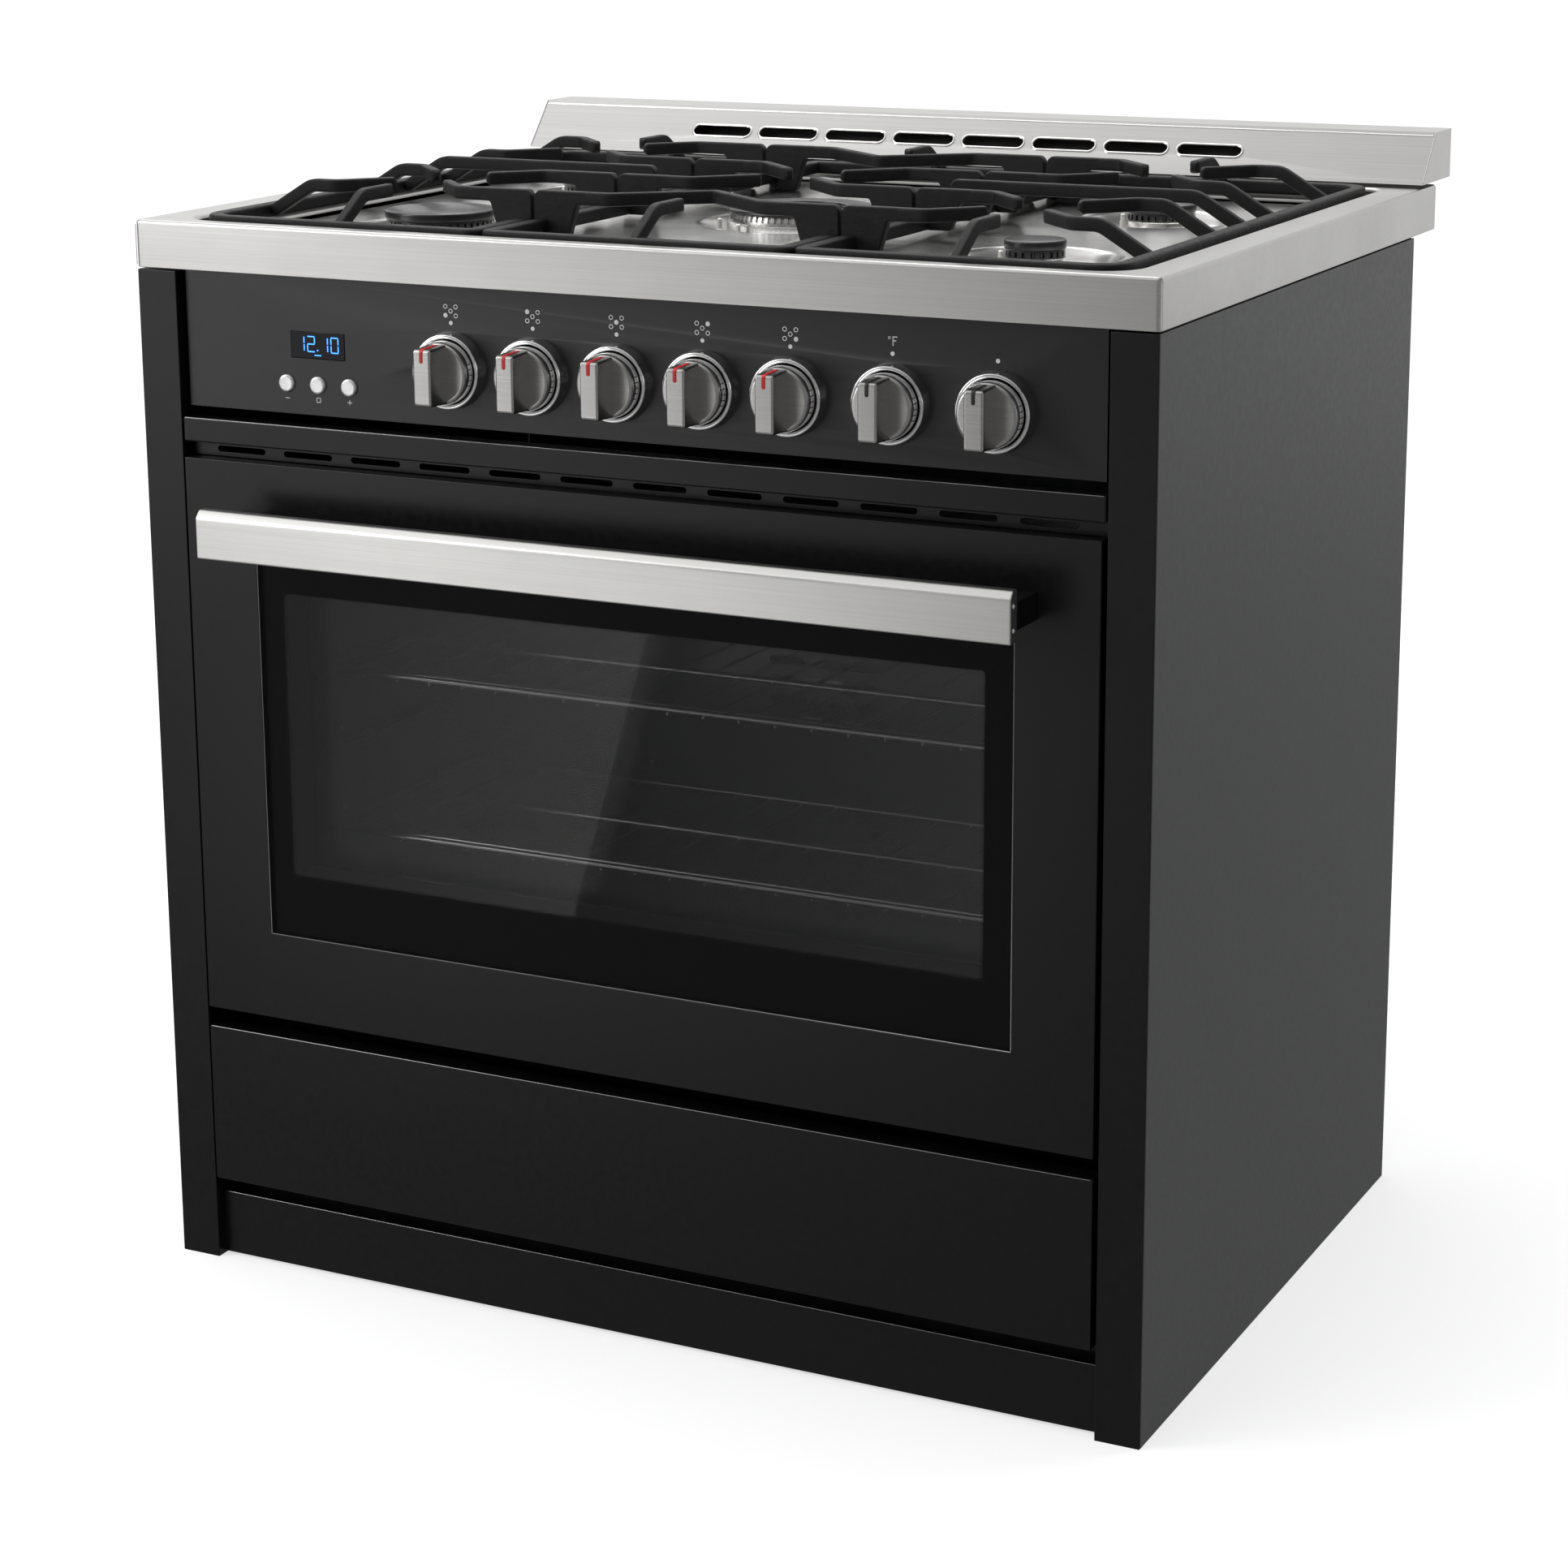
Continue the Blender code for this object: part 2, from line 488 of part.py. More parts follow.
# --------------------------------------------------------------------------- controls
def build_controls():
    """Control fascia with knob bezels, seven knobs, clock display and three buttons."""
    t = 0.002
    hollow = box(-PANEL_HALF + t, PANEL_HALF - t, dep(PANEL_D + t), dep(0.030), PANEL_Z0 + t, PANEL_Z1 - t)
    panel = cut(box(-PANEL_HALF, PANEL_HALF, dep(PANEL_D), dep(0.021), PANEL_Z0, PANEL_Z1), hollow)
    rings, holes = [], []
    ring = [(0.0267, -0.001), (0.0313, -0.001), (0.0300, 0.0105), (0.0269, 0.0098)]
    for x in KNOB_X:
        rings.append(solid(add_ring, ring, (x, dep(PANEL_D), KNOB_Z), "y", 24))
        holes.append(solid(add_turned, [(0, -0.02), (0.0065, -0.02), (0.0065, 0.02), (0, 0.02)],
                           (x, dep(PANEL_D), KNOB_Z), "y", 12))
    panel = join(panel, *rings)
    bore = [(0, -0.02), (BUTTON_R + GAP, -0.02), (BUTTON_R + GAP, 0.02), (0, 0.02)]
    for x in BUTTON_X:
        holes.append(solid(add_turned, bore, (x, dep(PANEL_D), BUTTON_Z), "y", 16))
    holes.append(box(-0.3068, -0.2542, dep(0), dep(0.015), 0.8065, 0.8288))
    finish_object("control_panel", cut(panel, *holes), "black")

    for number, x in enumerate(KNOB_X, 1):
        centre = Vector((x, dep(PANEL_D), KNOB_Z))
        skirt = [(0, -0.014), (0.0055, -0.014), (0.0055, 0.0012), (0.0262, 0.0012), (0.0256, 0.0190),
                 (0.0246, 0.0218), (0, 0.0218)]
        body = solid(add_turned, skirt, centre, "y", 24)
        grip = [(-0.0236, 0.020), (-0.0228, 0.0448), (-0.0218, 0.0460), (0.0216, 0.0460), (0.0226, 0.0450),
                (0.0240, 0.020)]
        grip = [(centre.y - out, centre.z + up) for up, out in grip]
        body = join(body, prism(grip, "x", x - 0.0081, x + 0.0081))
        name = "knob_burner_%d" % number
        if number > 5:
            name = ("knob_thermostat", "knob_selector")[number - 6]
        finish_object(name, body, "chrome", centre)

    finish_object("clock_display", box(-0.3065, -0.2545, dep(0.0076), dep(0.0190), 0.8068, 0.8285), "glass")
    for number, x in enumerate(BUTTON_X, 1):
        centre = (x, dep(PANEL_D), BUTTON_Z)
        profile = [(0, -0.010), (BUTTON_R, -0.010), (BUTTON_R, 0.0016), (BUTTON_R - 0.0008, 0.0024),
                   (0, 0.0027)]
        button = solid(add_turned, profile, centre, "y", 16)
        finish_object("clock_button_%d" % number, button, "white", centre)

    finish_object("trim_rail", box(-0.4125, 0.4125, dep(0), dep(0.018), 0.7305, 0.751), "black")
    grille = box(-0.4095, 0.4095, dep(0.012), dep(0.0135), 0.7183, 0.7302)
    slots = [prism(slot_outline(0.066 * (k - 5.5), 0.7243, 0.048, 0.0052, 2), "y", dep(0.005), dep(0.020))
             for k in range(12)]
    finish_object("vent_grille", cut(grille, *slots), "black")


# ------------------------------------------------------------------------------- oven
def build_oven():
    """Enamelled cavity with rack guides, two wire racks and the convection fan."""
    t = SHEET
    shell = box(-CAVITY_HALF - t, CAVITY_HALF + t, dep(CAVITY_D0), dep(CAVITY_D1 + t),
                CAVITY_Z0 - t, CAVITY_Z1 + t)
    flange = box(-0.405, 0.405, dep(CAVITY_D0), dep(CAVITY_D0 + 0.002), 0.292, 0.712)
    inside = box(-CAVITY_HALF, CAVITY_HALF, dep(0.03), dep(CAVITY_D1), CAVITY_Z0, CAVITY_Z1)
    bore = [(0, -0.5), (0.006, -0.5), (0.006, -0.3), (0, -0.3)]
    shaft = solid(add_turned, bore, (0, dep(0), 0.480), "y", 12)
    guides = []
    for side in (-1, 1):
        x0, x1 = span(CAVITY_HALF - 0.010, CAVITY_HALF + 0.0005, side)
        for level in RACK_LEVELS:
            guides.append(box(x0, x1, dep(0.070), dep(0.360), level - 0.0087, level - 0.0037))
    cavity = join(cut(join(shell, flange), inside, shaft), *guides)
    finish_object("oven_cavity", cavity, "enamel")

    for name, level in (("rack_lower", RACK_LEVELS[0]), ("rack_upper", RACK_LEVELS[2])):
        xs, wire = [], 0.0034
        pitch = 0.0480
        for k in range(14):
            x = pitch * (k - 6.5) * (0.3405 - wire / 2) / (pitch * 6.5)
            xs += [x - wire / 2, x + wire / 2]
        ys = [0.080, 0.0865, 0.2045, 0.2095, 0.3250, 0.3300]
        finish_object(name, lattice(xs, [dep(y) for y in ys], level - 0.0033, level + 0.0033), "chrome")

    cover = cut(box(-0.190, 0.190, dep(0.374), dep(0.3997), 0.375, 0.585),
                box(-0.1885, 0.1885, dep(0.3755), dep(0.42), 0.3765, 0.5835))
    vents = [prism(slot_outline(0.056 * (k - 2.5), 0.392, 0.040, 0.006, 2), "y", dep(0.36), dep(0.38))
             for k in range(6)]
    vents += [prism(slot_outline(0, 0.480 + 0.018 * k, 0.110, 0.008, 2), "y", dep(0.36), dep(0.38))
              for k in range(-2, 3)]
    finish_object("fan_cover", cut(cover, *vents), "enamel")

    hub = (0, dep(0.386), 0.480)
    bm = bmesh.new()
    stub = [(0, -0.020), (0.005, -0.020), (0.005, -0.002), (0.014, -0.002), (0.014, 0.005), (0, 0.005)]
    add_turned(bm, stub, hub, "y", 12)
    blades = []
    for k in range(6):
        blade = box(0.009, 0.062, -0.0010, 0.0010, -0.013, 0.013)
        turn = Matrix.Rotation(k * pi / 3, 4, "Y") @ Matrix.Rotation(0.35, 4, "X")
        bmesh.ops.transform(blade, matrix=Matrix.Translation(hub) @ turn, verts=blade.verts)
        blades.append(blade)
    for blade in blades:
        for vert in blade.verts:
            vert.co.y = min(max(vert.co.y, hub[1] - 0.0060), hub[1] + 0.0060)
    finish_object("convection_fan", join(bm, *blades), "zinc", hub)


def lattice(xs, ys, z0, z1):
    """Flat wire grid: bars fill the even cells of both break lists, gaps the odd ones."""
    bm = bmesh.new()
    corner = {}

    def vert(i, j, z):
        key = (i, j, z)
        if key not in corner:
            corner[key] = bm.verts.new((xs[i], ys[j], z))
        return corner[key]

    def filled(i, j):
        inside = 0 <= i < len(xs) - 1 and 0 <= j < len(ys) - 1
        return inside and (i % 2 == 0 or j % 2 == 0)

    for i in range(len(xs) - 1):
        for j in range(len(ys) - 1):
            if not filled(i, j):
                continue
            for z in (z0, z1):
                bm.faces.new([vert(i, j, z), vert(i + 1, j, z), vert(i + 1, j + 1, z), vert(i, j + 1, z)])
            walls = ((i - 1, j, (i, j), (i, j + 1)), (i + 1, j, (i + 1, j), (i + 1, j + 1)),
                     (i, j - 1, (i, j), (i + 1, j)), (i, j + 1, (i, j + 1), (i + 1, j + 1)))
            for ni, nj, a, b in walls:
                if not filled(ni, nj):
                    bm.faces.new([vert(*a, z0), vert(*b, z0), vert(*b, z1), vert(*a, z1)])
    return bm


# ------------------------------------------------------------------------------- door
def build_door():
    """Drop-down oven door: skin, glasses, liner, seal, and the bar handle on two posts."""
    t = SHEET
    pivot = (0, dep(HINGE_D), HINGE_Z)
    skin = cut(box(-DOOR_HALF, DOOR_HALF, dep(DOOR_FRONT), dep(0.0340), DOOR_Z0, DOOR_Z1),
               box(-DOOR_HALF + t, DOOR_HALF - t, dep(DOOR_FRONT + t), dep(0.05), DOOR_Z0 + t, DOOR_Z1 - t))
    g = 0.0003
    skin = cut(skin, prism(round_rect(-GLASS_HALF - g, GLASS_HALF + g, GLASS_Z0 - g, GLASS_Z1 + g, 0.004, 2),
                           "y", dep(-0.01), dep(0.01)))
    finish_object("door_skin", skin, "black", pivot)

    pane = round_rect(-GLASS_HALF, GLASS_HALF, GLASS_Z0, GLASS_Z1, 0.0037, 2)
    glass = prism(pane, "y", dep(-0.0030), dep(0.0010))
    finish_object("door_glass_outer", glass, "glass", pivot)

    w, z0, z1 = WINDOW_HALF, WINDOW_Z0, WINDOW_Z1
    liner = box(-0.4085, 0.4085, dep(0.0343), dep(DOOR_BACK), 0.236, 0.7155)
    tunnel = box(-w - 0.0012, w + 0.0012, dep(0.0014), dep(0.0350), z0 - 0.0012, z1 + 0.0012)
    liner = cut(join(liner, tunnel), box(-w, w, dep(-0.01), dep(0.05), z0, z1))
    finish_object("door_liner", liner, "black", pivot)
    glass = box(-w + g, w - g, dep(0.0290), dep(0.0330), z0 + g, z1 - g)
    finish_object("door_glass_inner", glass, "glass", pivot)

    bar = [(-0.0585, 0.6471), (-0.0570, 0.6456), (-0.0470, 0.6456), (-0.0455, 0.6471), (-0.0455, 0.6845),
           (-0.0470, 0.6860), (-0.0538, 0.6860), (-0.0585, 0.6805)]
    finish_object("door_handle", prism([(dep(y), z) for y, z in bar], "x", -0.3617, 0.3617), "steel", pivot)
    for side in (-1, 1):
        x0, x1 = span(0.338, 0.360, side)
        post = box(x0, x1, dep(-0.0452), dep(-0.0033), 0.653, 0.675)
        finish_object(sided("handle_post", side), post, "black", pivot)

    ring = cut(prism(round_rect(-0.372, 0.372, 0.2965, 0.6925, 0.02, 3), "y", dep(0.0371), dep(0.0447)),
               prism(round_rect(-0.360, 0.360, 0.3085, 0.6805, 0.010, 3), "y", dep(0.02), dep(0.06)))
    finish_object("door_seal", ring, "rubber")


def build_drawer():
    """Storage drawer running on two fixed rails."""
    t = SHEET
    hollow = box(-DOOR_HALF + t, DOOR_HALF - t, dep(DOOR_FRONT + t), dep(0.03), DRAWER_Z0 + t, DRAWER_Z1 - t)
    front = cut(box(-DOOR_HALF, DOOR_HALF, dep(DOOR_FRONT), dep(0.0170), DRAWER_Z0, DRAWER_Z1), hollow)
    finish_object("drawer_front", front, "black")
    tray = cut(box(-0.380, 0.380, dep(0.0173), dep(0.520), 0.086, 0.200),
               box(-0.3785, 0.3785, dep(0.0193), dep(0.5185), 0.0875, 0.25))
    lips = [box(*span(0.3795, 0.3915, side), dep(0.036), dep(0.520), 0.1428, 0.1444) for side in (-1, 1)]
    finish_object("drawer_box", join(tray, *lips), "zinc")
    for side in (-1, 1):
        outline = [(0.3835, 0.1405), (0.3910, 0.1405), (0.3910, 0.0500), (0.3850, 0.0500), (0.3850, 0.0483),
                   (0.3930, 0.0483), (0.3930, 0.1425), (0.3835, 0.1425)]
        rail = prism([(side * x, z) for x, z in outline], "y", dep(0.034), dep(0.600))
        finish_object(sided("drawer_rail", side), rail, "zinc")


build_carcass()
build_cooktop()
build_burners()
for edge in (-1, 1):
    build_outer_grate(edge)
build_centre_grate()
build_backguard()
build_controls()
build_oven()
build_door()
build_drawer()
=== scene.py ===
"""Freestanding five-burner gas range: finished surfaces, materials, light and camera.

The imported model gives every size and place.  Sheet-metal parts keep their CAD shape and get
rounded folds; castings, burners, knobs, racks, the handle and the small fittings are computed
here as surfaces.  World axes: +X to the cook's right, -Y towards the cook, +Z up, in metres.
A profile is a row of (radius, height) pairs for a turned surface.
"""
from __future__ import annotations

import logging
from dataclasses import dataclass, field
from enum import Enum
from math import pi
from typing import Callable, Sequence

import bmesh
import bpy
import numpy as np
from mathutils import Matrix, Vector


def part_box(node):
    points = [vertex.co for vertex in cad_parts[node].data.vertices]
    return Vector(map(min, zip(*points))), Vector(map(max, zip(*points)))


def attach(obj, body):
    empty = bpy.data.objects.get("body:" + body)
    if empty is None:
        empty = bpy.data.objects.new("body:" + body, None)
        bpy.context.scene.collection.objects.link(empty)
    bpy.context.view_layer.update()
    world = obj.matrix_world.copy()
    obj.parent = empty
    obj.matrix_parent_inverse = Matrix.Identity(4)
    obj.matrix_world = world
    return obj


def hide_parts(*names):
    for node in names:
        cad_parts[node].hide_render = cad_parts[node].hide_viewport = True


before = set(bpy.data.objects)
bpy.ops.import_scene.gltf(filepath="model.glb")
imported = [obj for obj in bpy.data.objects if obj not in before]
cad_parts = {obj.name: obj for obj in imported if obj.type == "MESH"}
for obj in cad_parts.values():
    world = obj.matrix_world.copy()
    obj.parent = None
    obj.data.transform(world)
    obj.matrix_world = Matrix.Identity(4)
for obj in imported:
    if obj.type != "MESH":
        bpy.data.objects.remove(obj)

LOG = logging.getLogger("range")
Point = tuple[float, float, float]
Profile = Sequence[tuple[float, float]]
Radial = Callable[[np.ndarray, np.ndarray, np.ndarray], np.ndarray]
Tree = bpy.types.NodeTree
Node = bpy.types.Node
Socket = bpy.types.NodeSocket

PLACES = ("front_left", "rear_left", "front_right", "rear_right")
KNOBS = ["knob_burner_%d" % k for k in range(1, 6)] + ["knob_thermostat", "knob_selector"]
KNOB_Z = 0.806                        # height of the knobs' axes
SINK = 0.0001                         # how deep a fitted piece reaches into its sheet
MARGIN = 0.002                        # how far a hem ends before its sheet does
END_REACH, END_SIZE = 0.5, 0.45       # a rounded bar end: length over half its section, last ring's scale
MERGE, COPLANAR = 2e-6, 0.02          # merge distance and flatness angle for CAD triangles
FOLD_SHARP, FOLD_ANGLE = 0.9, 0.6     # angles above which a fold is shaded sharp, and is rounded
COAT_ROUGH = 0.08


class Body(str, Enum):
    """Moving bodies that the pieces of this file ride on."""

    FIXED = "body"
    DOOR = "door"
    DRAWER = "drawer"


# ------------------------------------------------------------------------------ surfaces
@dataclass
class Shell:
    """A set of points with the quads and polygons that join them."""

    points: np.ndarray
    quads: np.ndarray
    polygons: list[list[int]] = field(default_factory=list)

    def flipped(self) -> Shell:
        """The same shell with its faces turned over."""
        return Shell(self.points, self.quads[:, ::-1], [poly[::-1] for poly in self.polygons])


def grid_quads(rows: int, cols: int, wrap_rows: bool, wrap_cols: bool) -> np.ndarray:
    """Quads of a rows x cols grid of points, wrapped round in either direction.

    Args:
        rows: number of rows of points.
        cols: number of points in a row.
        wrap_rows: join the last row to the first.
        wrap_cols: join the last column to the first.

    Returns:
        Array of shape (faces, 4) with point numbers.
    """
    i = np.arange(rows if wrap_rows else rows - 1)[:, None]
    j = np.arange(cols if wrap_cols else cols - 1)[None, :]
    ii, jj = (i + 1) % rows, (j + 1) % cols
    corners = (i * cols + j, i * cols + jj, ii * cols + jj, ii * cols + j)
    return np.stack([np.broadcast_to(c, (i.size, j.size)).ravel() for c in corners], axis=1)


def lofted(rings: np.ndarray, closed: bool = False, caps: bool = True) -> Shell:
    """Skin over a stack of closed rings: row r of the grid is ring r.

    Args:
        rings: array of shape (rings, points, 3), anticlockwise seen from the last ring's side.
        closed: join the last ring to the first.
        caps: close the first and the last ring with flat polygons.

    Returns:
        The shell.
    """
    rows, cols = rings.shape[:2]
    polygons = []
    if caps and not closed:
        polygons = [list(range(cols))[::-1], list(range((rows - 1) * cols, rows * cols))]
    return Shell(rings.reshape(-1, 3), grid_quads(rows, cols, closed, True), polygons)


def turned(profile: Profile, centre: Sequence[float], axis: str = "z", sides: int = 64,
           closed: bool = False, radial: Radial | None = None) -> Shell:
    """Surface of revolution: point (i, j) lies at angle 2 pi j / sides, radius r_i and height h_i.

    Args:
        profile: (radius, height) pairs, outer side running upwards.
        centre: the point at height zero on the axis.
        axis: "z", or "y" for heights that run towards -Y.
        sides: number of steps round the axis.
        closed: join the profile's end to its start, for a ring.
        radial: gives the radius as a function of (angle, radius, height).

    Returns:
        The shell, with flat caps where the profile doesn't close.
    """
    prof = np.asarray(profile, float)
    angle = 2 * pi * np.arange(sides)[None, :] / sides
    radius = np.broadcast_to(prof[:, :1], (len(prof), sides))
    height = np.broadcast_to(prof[:, 1:], (len(prof), sides))
    if radial is not None:
        radius = radial(angle, radius, height)
    u, v = radius * np.cos(angle), radius * np.sin(angle)
    rings = np.stack([u, v, height] if axis == "z" else [u, -height, v], axis=-1)
    return lofted(rings + np.asarray(centre, float), closed=closed)


def lifted(profile: Profile, radius: float, height: float) -> list[tuple[float, float]]:
    """A profile whose pairs are measured from the given radius and height."""
    return [(radius + r, height + h) for r, h in profile]


def rounded_rect(x0: float, x1: float, y0: float, y1: float, radius: float, steps: int = 6) -> np.ndarray:
    """Outline of a rectangle with quarter-circle corners.

    Args:
        x0, x1, y0, y1: the rectangle's limits.
        radius: radius of its corners.
        steps: number of steps in each quarter circle.

    Returns:
        Anticlockwise points, shape (points, 2).
    """
    quarter = np.linspace(0, pi / 2, steps + 1)
    centres = ((x1 - radius, y1 - radius), (x0 + radius, y1 - radius),
               (x0 + radius, y0 + radius), (x1 - radius, y0 + radius))
    parts = []
    for k, (cx, cy) in enumerate(centres):
        turn = quarter + k * pi / 2
        parts.append(np.stack([cx + radius * np.cos(turn), cy + radius * np.sin(turn)], axis=1))
    return np.concatenate(parts)


def unit(vectors: np.ndarray) -> np.ndarray:
    """Each row scaled to length one."""
    return vectors / np.maximum(np.linalg.norm(vectors, axis=1, keepdims=True), 1e-9)


def shrunk(outline: np.ndarray, inset: float, sharpest: float = 0.35) -> np.ndarray:
    """Closed outline moved inwards: each point moves along the mean of its two edges' normals.

    Args:
        outline: anticlockwise points, shape (points, 2).
        inset: distance between the old edges and the new ones.
        sharpest: least cosine used for the mitre, so that a sharp corner doesn't run away.

    Returns:
        The new outline.
    """
    edges = (np.roll(outline, -1, axis=0) - outline, outline - np.roll(outline, 1, axis=0))
    normals = [np.stack([-d[:, 1], d[:, 0]], axis=1) for d in (unit(edge) for edge in edges)]
    mean = unit(normals[0] + normals[1])
    return outline + mean * inset / np.maximum(np.sum(mean * normals[0], axis=1, keepdims=True), sharpest)


def oriented(outline: Sequence[Sequence[float]]) -> np.ndarray:
    """The outline as an array that runs anticlockwise, judged by its signed area."""
    flat = np.asarray(outline, float)
    area = np.sum(flat[:, 0] * np.roll(flat[:, 1], -1) - np.roll(flat[:, 0], -1) * flat[:, 1])
    return flat if area > 0 else flat[::-1]


def pillow(outline: np.ndarray, axis: str, low: float, high: float, fillet: float, steps: int = 4) -> Shell:
    """Plate with rounded edges: an outline carried along an axis.

    Near each end the outline shrinks by fillet * (1 - sin a) while the station runs in by
    fillet * (1 - cos a), a from 0 to 90 degrees.

    Args:
        outline: (x, y) points for axis "z", (x, z) for "y", (y, z) for "x".
        axis: the axis that it is carried along.
        low, high: the plate's limits on that axis.
        fillet: radius of its edges.
        steps: number of steps in each edge.

    Returns:
        The closed shell.
    """
    a = np.linspace(0, pi / 2, steps + 1)
    places = np.concatenate([low + fillet * (1 - np.cos(a)), high - fillet * (1 - np.sin(a))])
    insets = np.concatenate([fillet * (1 - np.sin(a)), fillet * (1 - np.cos(a))])
    rings = []
    for place, inset in zip(places, insets):
        u, v = shrunk(outline, inset).T
        along = np.full(len(u), place)
        rings.append(np.stack({"z": (u, v, along), "y": (u, along, v), "x": (along, u, v)}[axis], axis=1))
    shell = lofted(np.array(rings))
    return shell.flipped() if axis == "y" else shell


def swept(path: np.ndarray, section: np.ndarray, closed: bool = False, up: Sequence[float] = (0, 0, 1),
          round_ends: bool = False) -> Shell:
    """A section carried along a path, with the path's mean tangent t as its normal.

    The section's axes are side = t x up and lift = side x t; a mitre keeps the width in a bend.

    Args:
        path: points, shape (points, 3).
        section: (side, lift) offsets.
        closed: join the path's end to its start.
        up: the direction that `lift` leans to.
        round_ends: add a smaller ring beyond each end.

    Returns:
        The shell, capped at its ends.
    """
    path = np.asarray(path, float)
    ahead = np.roll(path, -1, axis=0) - path
    behind = path - np.roll(path, 1, axis=0)
    if not closed:
        ahead[-1], behind[0] = behind[-1], ahead[0]
    ahead = unit(ahead)
    tangent = unit(ahead + unit(behind))
    side = unit(np.cross(tangent, np.asarray(up, float)))
    lift = np.cross(side, tangent)
    mitre = 1 / np.maximum(np.sum(tangent * ahead, axis=1), 0.5)
    across, upwards = section[None, :, :1], section[None, :, 1:]
    offsets = across * side[:, None] * mitre[:, None, None] + upwards * lift[:, None]
    rings = path[:, None] + offsets
    if round_ends:
        reach = np.abs(section).max() * END_REACH
        first = path[0] - tangent[0] * reach + offsets[0] * END_SIZE
        last = path[-1] + tangent[-1] * reach + offsets[-1] * END_SIZE
        rings = np.concatenate([first[None], rings, last[None]])
    return lofted(rings, closed=closed).flipped()


def superellipse(width: float, height: float, power: float = 4.0, count: int = 16) -> np.ndarray:
    """Rounded-box section: |2x/width|^power + |2y/height|^power = 1, anticlockwise."""
    a = 2 * pi * (np.arange(count) + 0.5) / count
    c, s = np.cos(a), np.sin(a)
    return np.stack([np.sign(c) * np.abs(c) ** (2 / power) * width / 2,
                     np.sign(s) * np.abs(s) ** (2 / power) * height / 2], axis=1)


def circle(diameter: float, count: int = 8) -> np.ndarray:
    """Round section of a wire or a bead."""
    return superellipse(diameter, diameter, 2.0, count)


def smooth_path(points: Sequence[Sequence[float]], radius: float | Sequence[float], steps: int = 5,
                closed: bool = False) -> np.ndarray:
    """Polyline whose corners are replaced by quadratic Bezier arcs.

    Args:
        points: the corners.
        radius: distance from each corner at which its arc starts.
        steps: number of steps in each arc.
        closed: join the end to the start.

    Returns:
        The path's points.
    """
    pts = np.asarray(points, float)
    count = len(pts)
    radii = np.broadcast_to(np.asarray(radius, float), (count,))
    t = np.linspace(0, 1, steps + 1)[:, None]
    out = [] if closed else [pts[:1]]
    for i in range(count) if closed else range(1, count - 1):
        here = pts[i]
        ends = []
        for other in (pts[i - 1], pts[(i + 1) % count]):
            length = np.linalg.norm(other - here)
            ends.append(here + (other - here) / length * min(radii[i], length * 0.48))
        out.append((1 - t) ** 2 * ends[0] + 2 * t * (1 - t) * here + t ** 2 * ends[1])
    if not closed:
        out.append(pts[-1:])
    return np.concatenate(out)


# ----------------------------------------------------------------------------- materials
def add_node(tree: Tree, kind: str, values: dict[str, float | Sequence[float]] | None = None,
             links: dict[str, Socket] | None = None) -> Node:
    """Make a shader node.

    Args:
        tree: the node tree.
        kind: the node's type, without its "ShaderNode" prefix.
        values: constants by input name.
        links: sockets by the name of the input that they feed.

    Returns:
        The node.
    """
    node = tree.nodes.new("ShaderNode" + kind)
    for label, value in (values or {}).items():
        node.inputs[label].default_value = value
    for label, socket in (links or {}).items():
        tree.links.new(socket, node.inputs[label])
    return node


def object_place(tree: Tree) -> Socket:
    """Object coordinates."""
    return add_node(tree, "TexCoord").outputs["Object"]


def noise(tree: Tree, scale: float, stretch: Point = (1, 1, 1), detail: float = 3.0,
          rough: float = 0.55) -> Socket:
    """Noise value on Object coordinates, squeezed by `stretch` along X, Y and Z."""
    squeeze = add_node(tree, "Mapping", {"Scale": stretch}, {"Vector": object_place(tree)})
    texture = add_node(tree, "TexNoise", {"Scale": scale, "Detail": detail, "Roughness": rough},
                       {"Vector": squeeze.outputs["Vector"]})
    return texture.outputs["Fac"]


def ranged(tree: Tree, value: Socket, low: float, high: float, start: float = 0.3,
           end: float = 0.7) -> Socket:
    """Map `start`..`end` of a value onto `low`..`high`, clamped."""
    limits = {"From Min": start, "From Max": end, "To Min": low, "To Max": high}
    return add_node(tree, "MapRange", limits, {"Value": value}).outputs["Result"]


def combined(tree: Tree, a: Socket, b: Socket, operation: str = "MULTIPLY") -> Socket:
    """Math node on two sockets."""
    node = add_node(tree, "Math")
    node.operation = operation
    tree.links.new(a, node.inputs[0])
    tree.links.new(b, node.inputs[1])
    return node.outputs[0]


def fill_brushed(tree: Tree, depth: Socket, _cells: Socket) -> tuple[Socket, Socket, Socket]:
    """Brushing: long fine streaks along X times a broader band, with a cloud of smudges."""
    streak = noise(tree, 1.0, (4.0, 900.0, 900.0), 4.0, 0.6)
    broad = noise(tree, 1.0, (1.2, 90.0, 90.0), 2.0, 0.5)
    cloud = noise(tree, 7.0, rough=0.6)
    mix = combined(tree, ranged(tree, streak, 0.0, 1.0), ranged(tree, broad, 0.6, 1.0))
    return mix, ranged(tree, cloud, 0.0, 1.0), combined(tree, mix, depth)


def fill_cast(tree: Tree, depth: Socket, _cells: Socket) -> tuple[Socket, Socket, Socket]:
    """Sand-cast skin: fine grain plus larger soft lumps."""
    grain = noise(tree, 1400.0, rough=0.7)
    lumps = noise(tree, 160.0, detail=2.0, rough=0.5)
    height = combined(tree, combined(tree, grain, lumps, "ADD"), depth)
    return ranged(tree, grain, 0.0, 1.0), ranged(tree, lumps, 0.0, 1.0), height


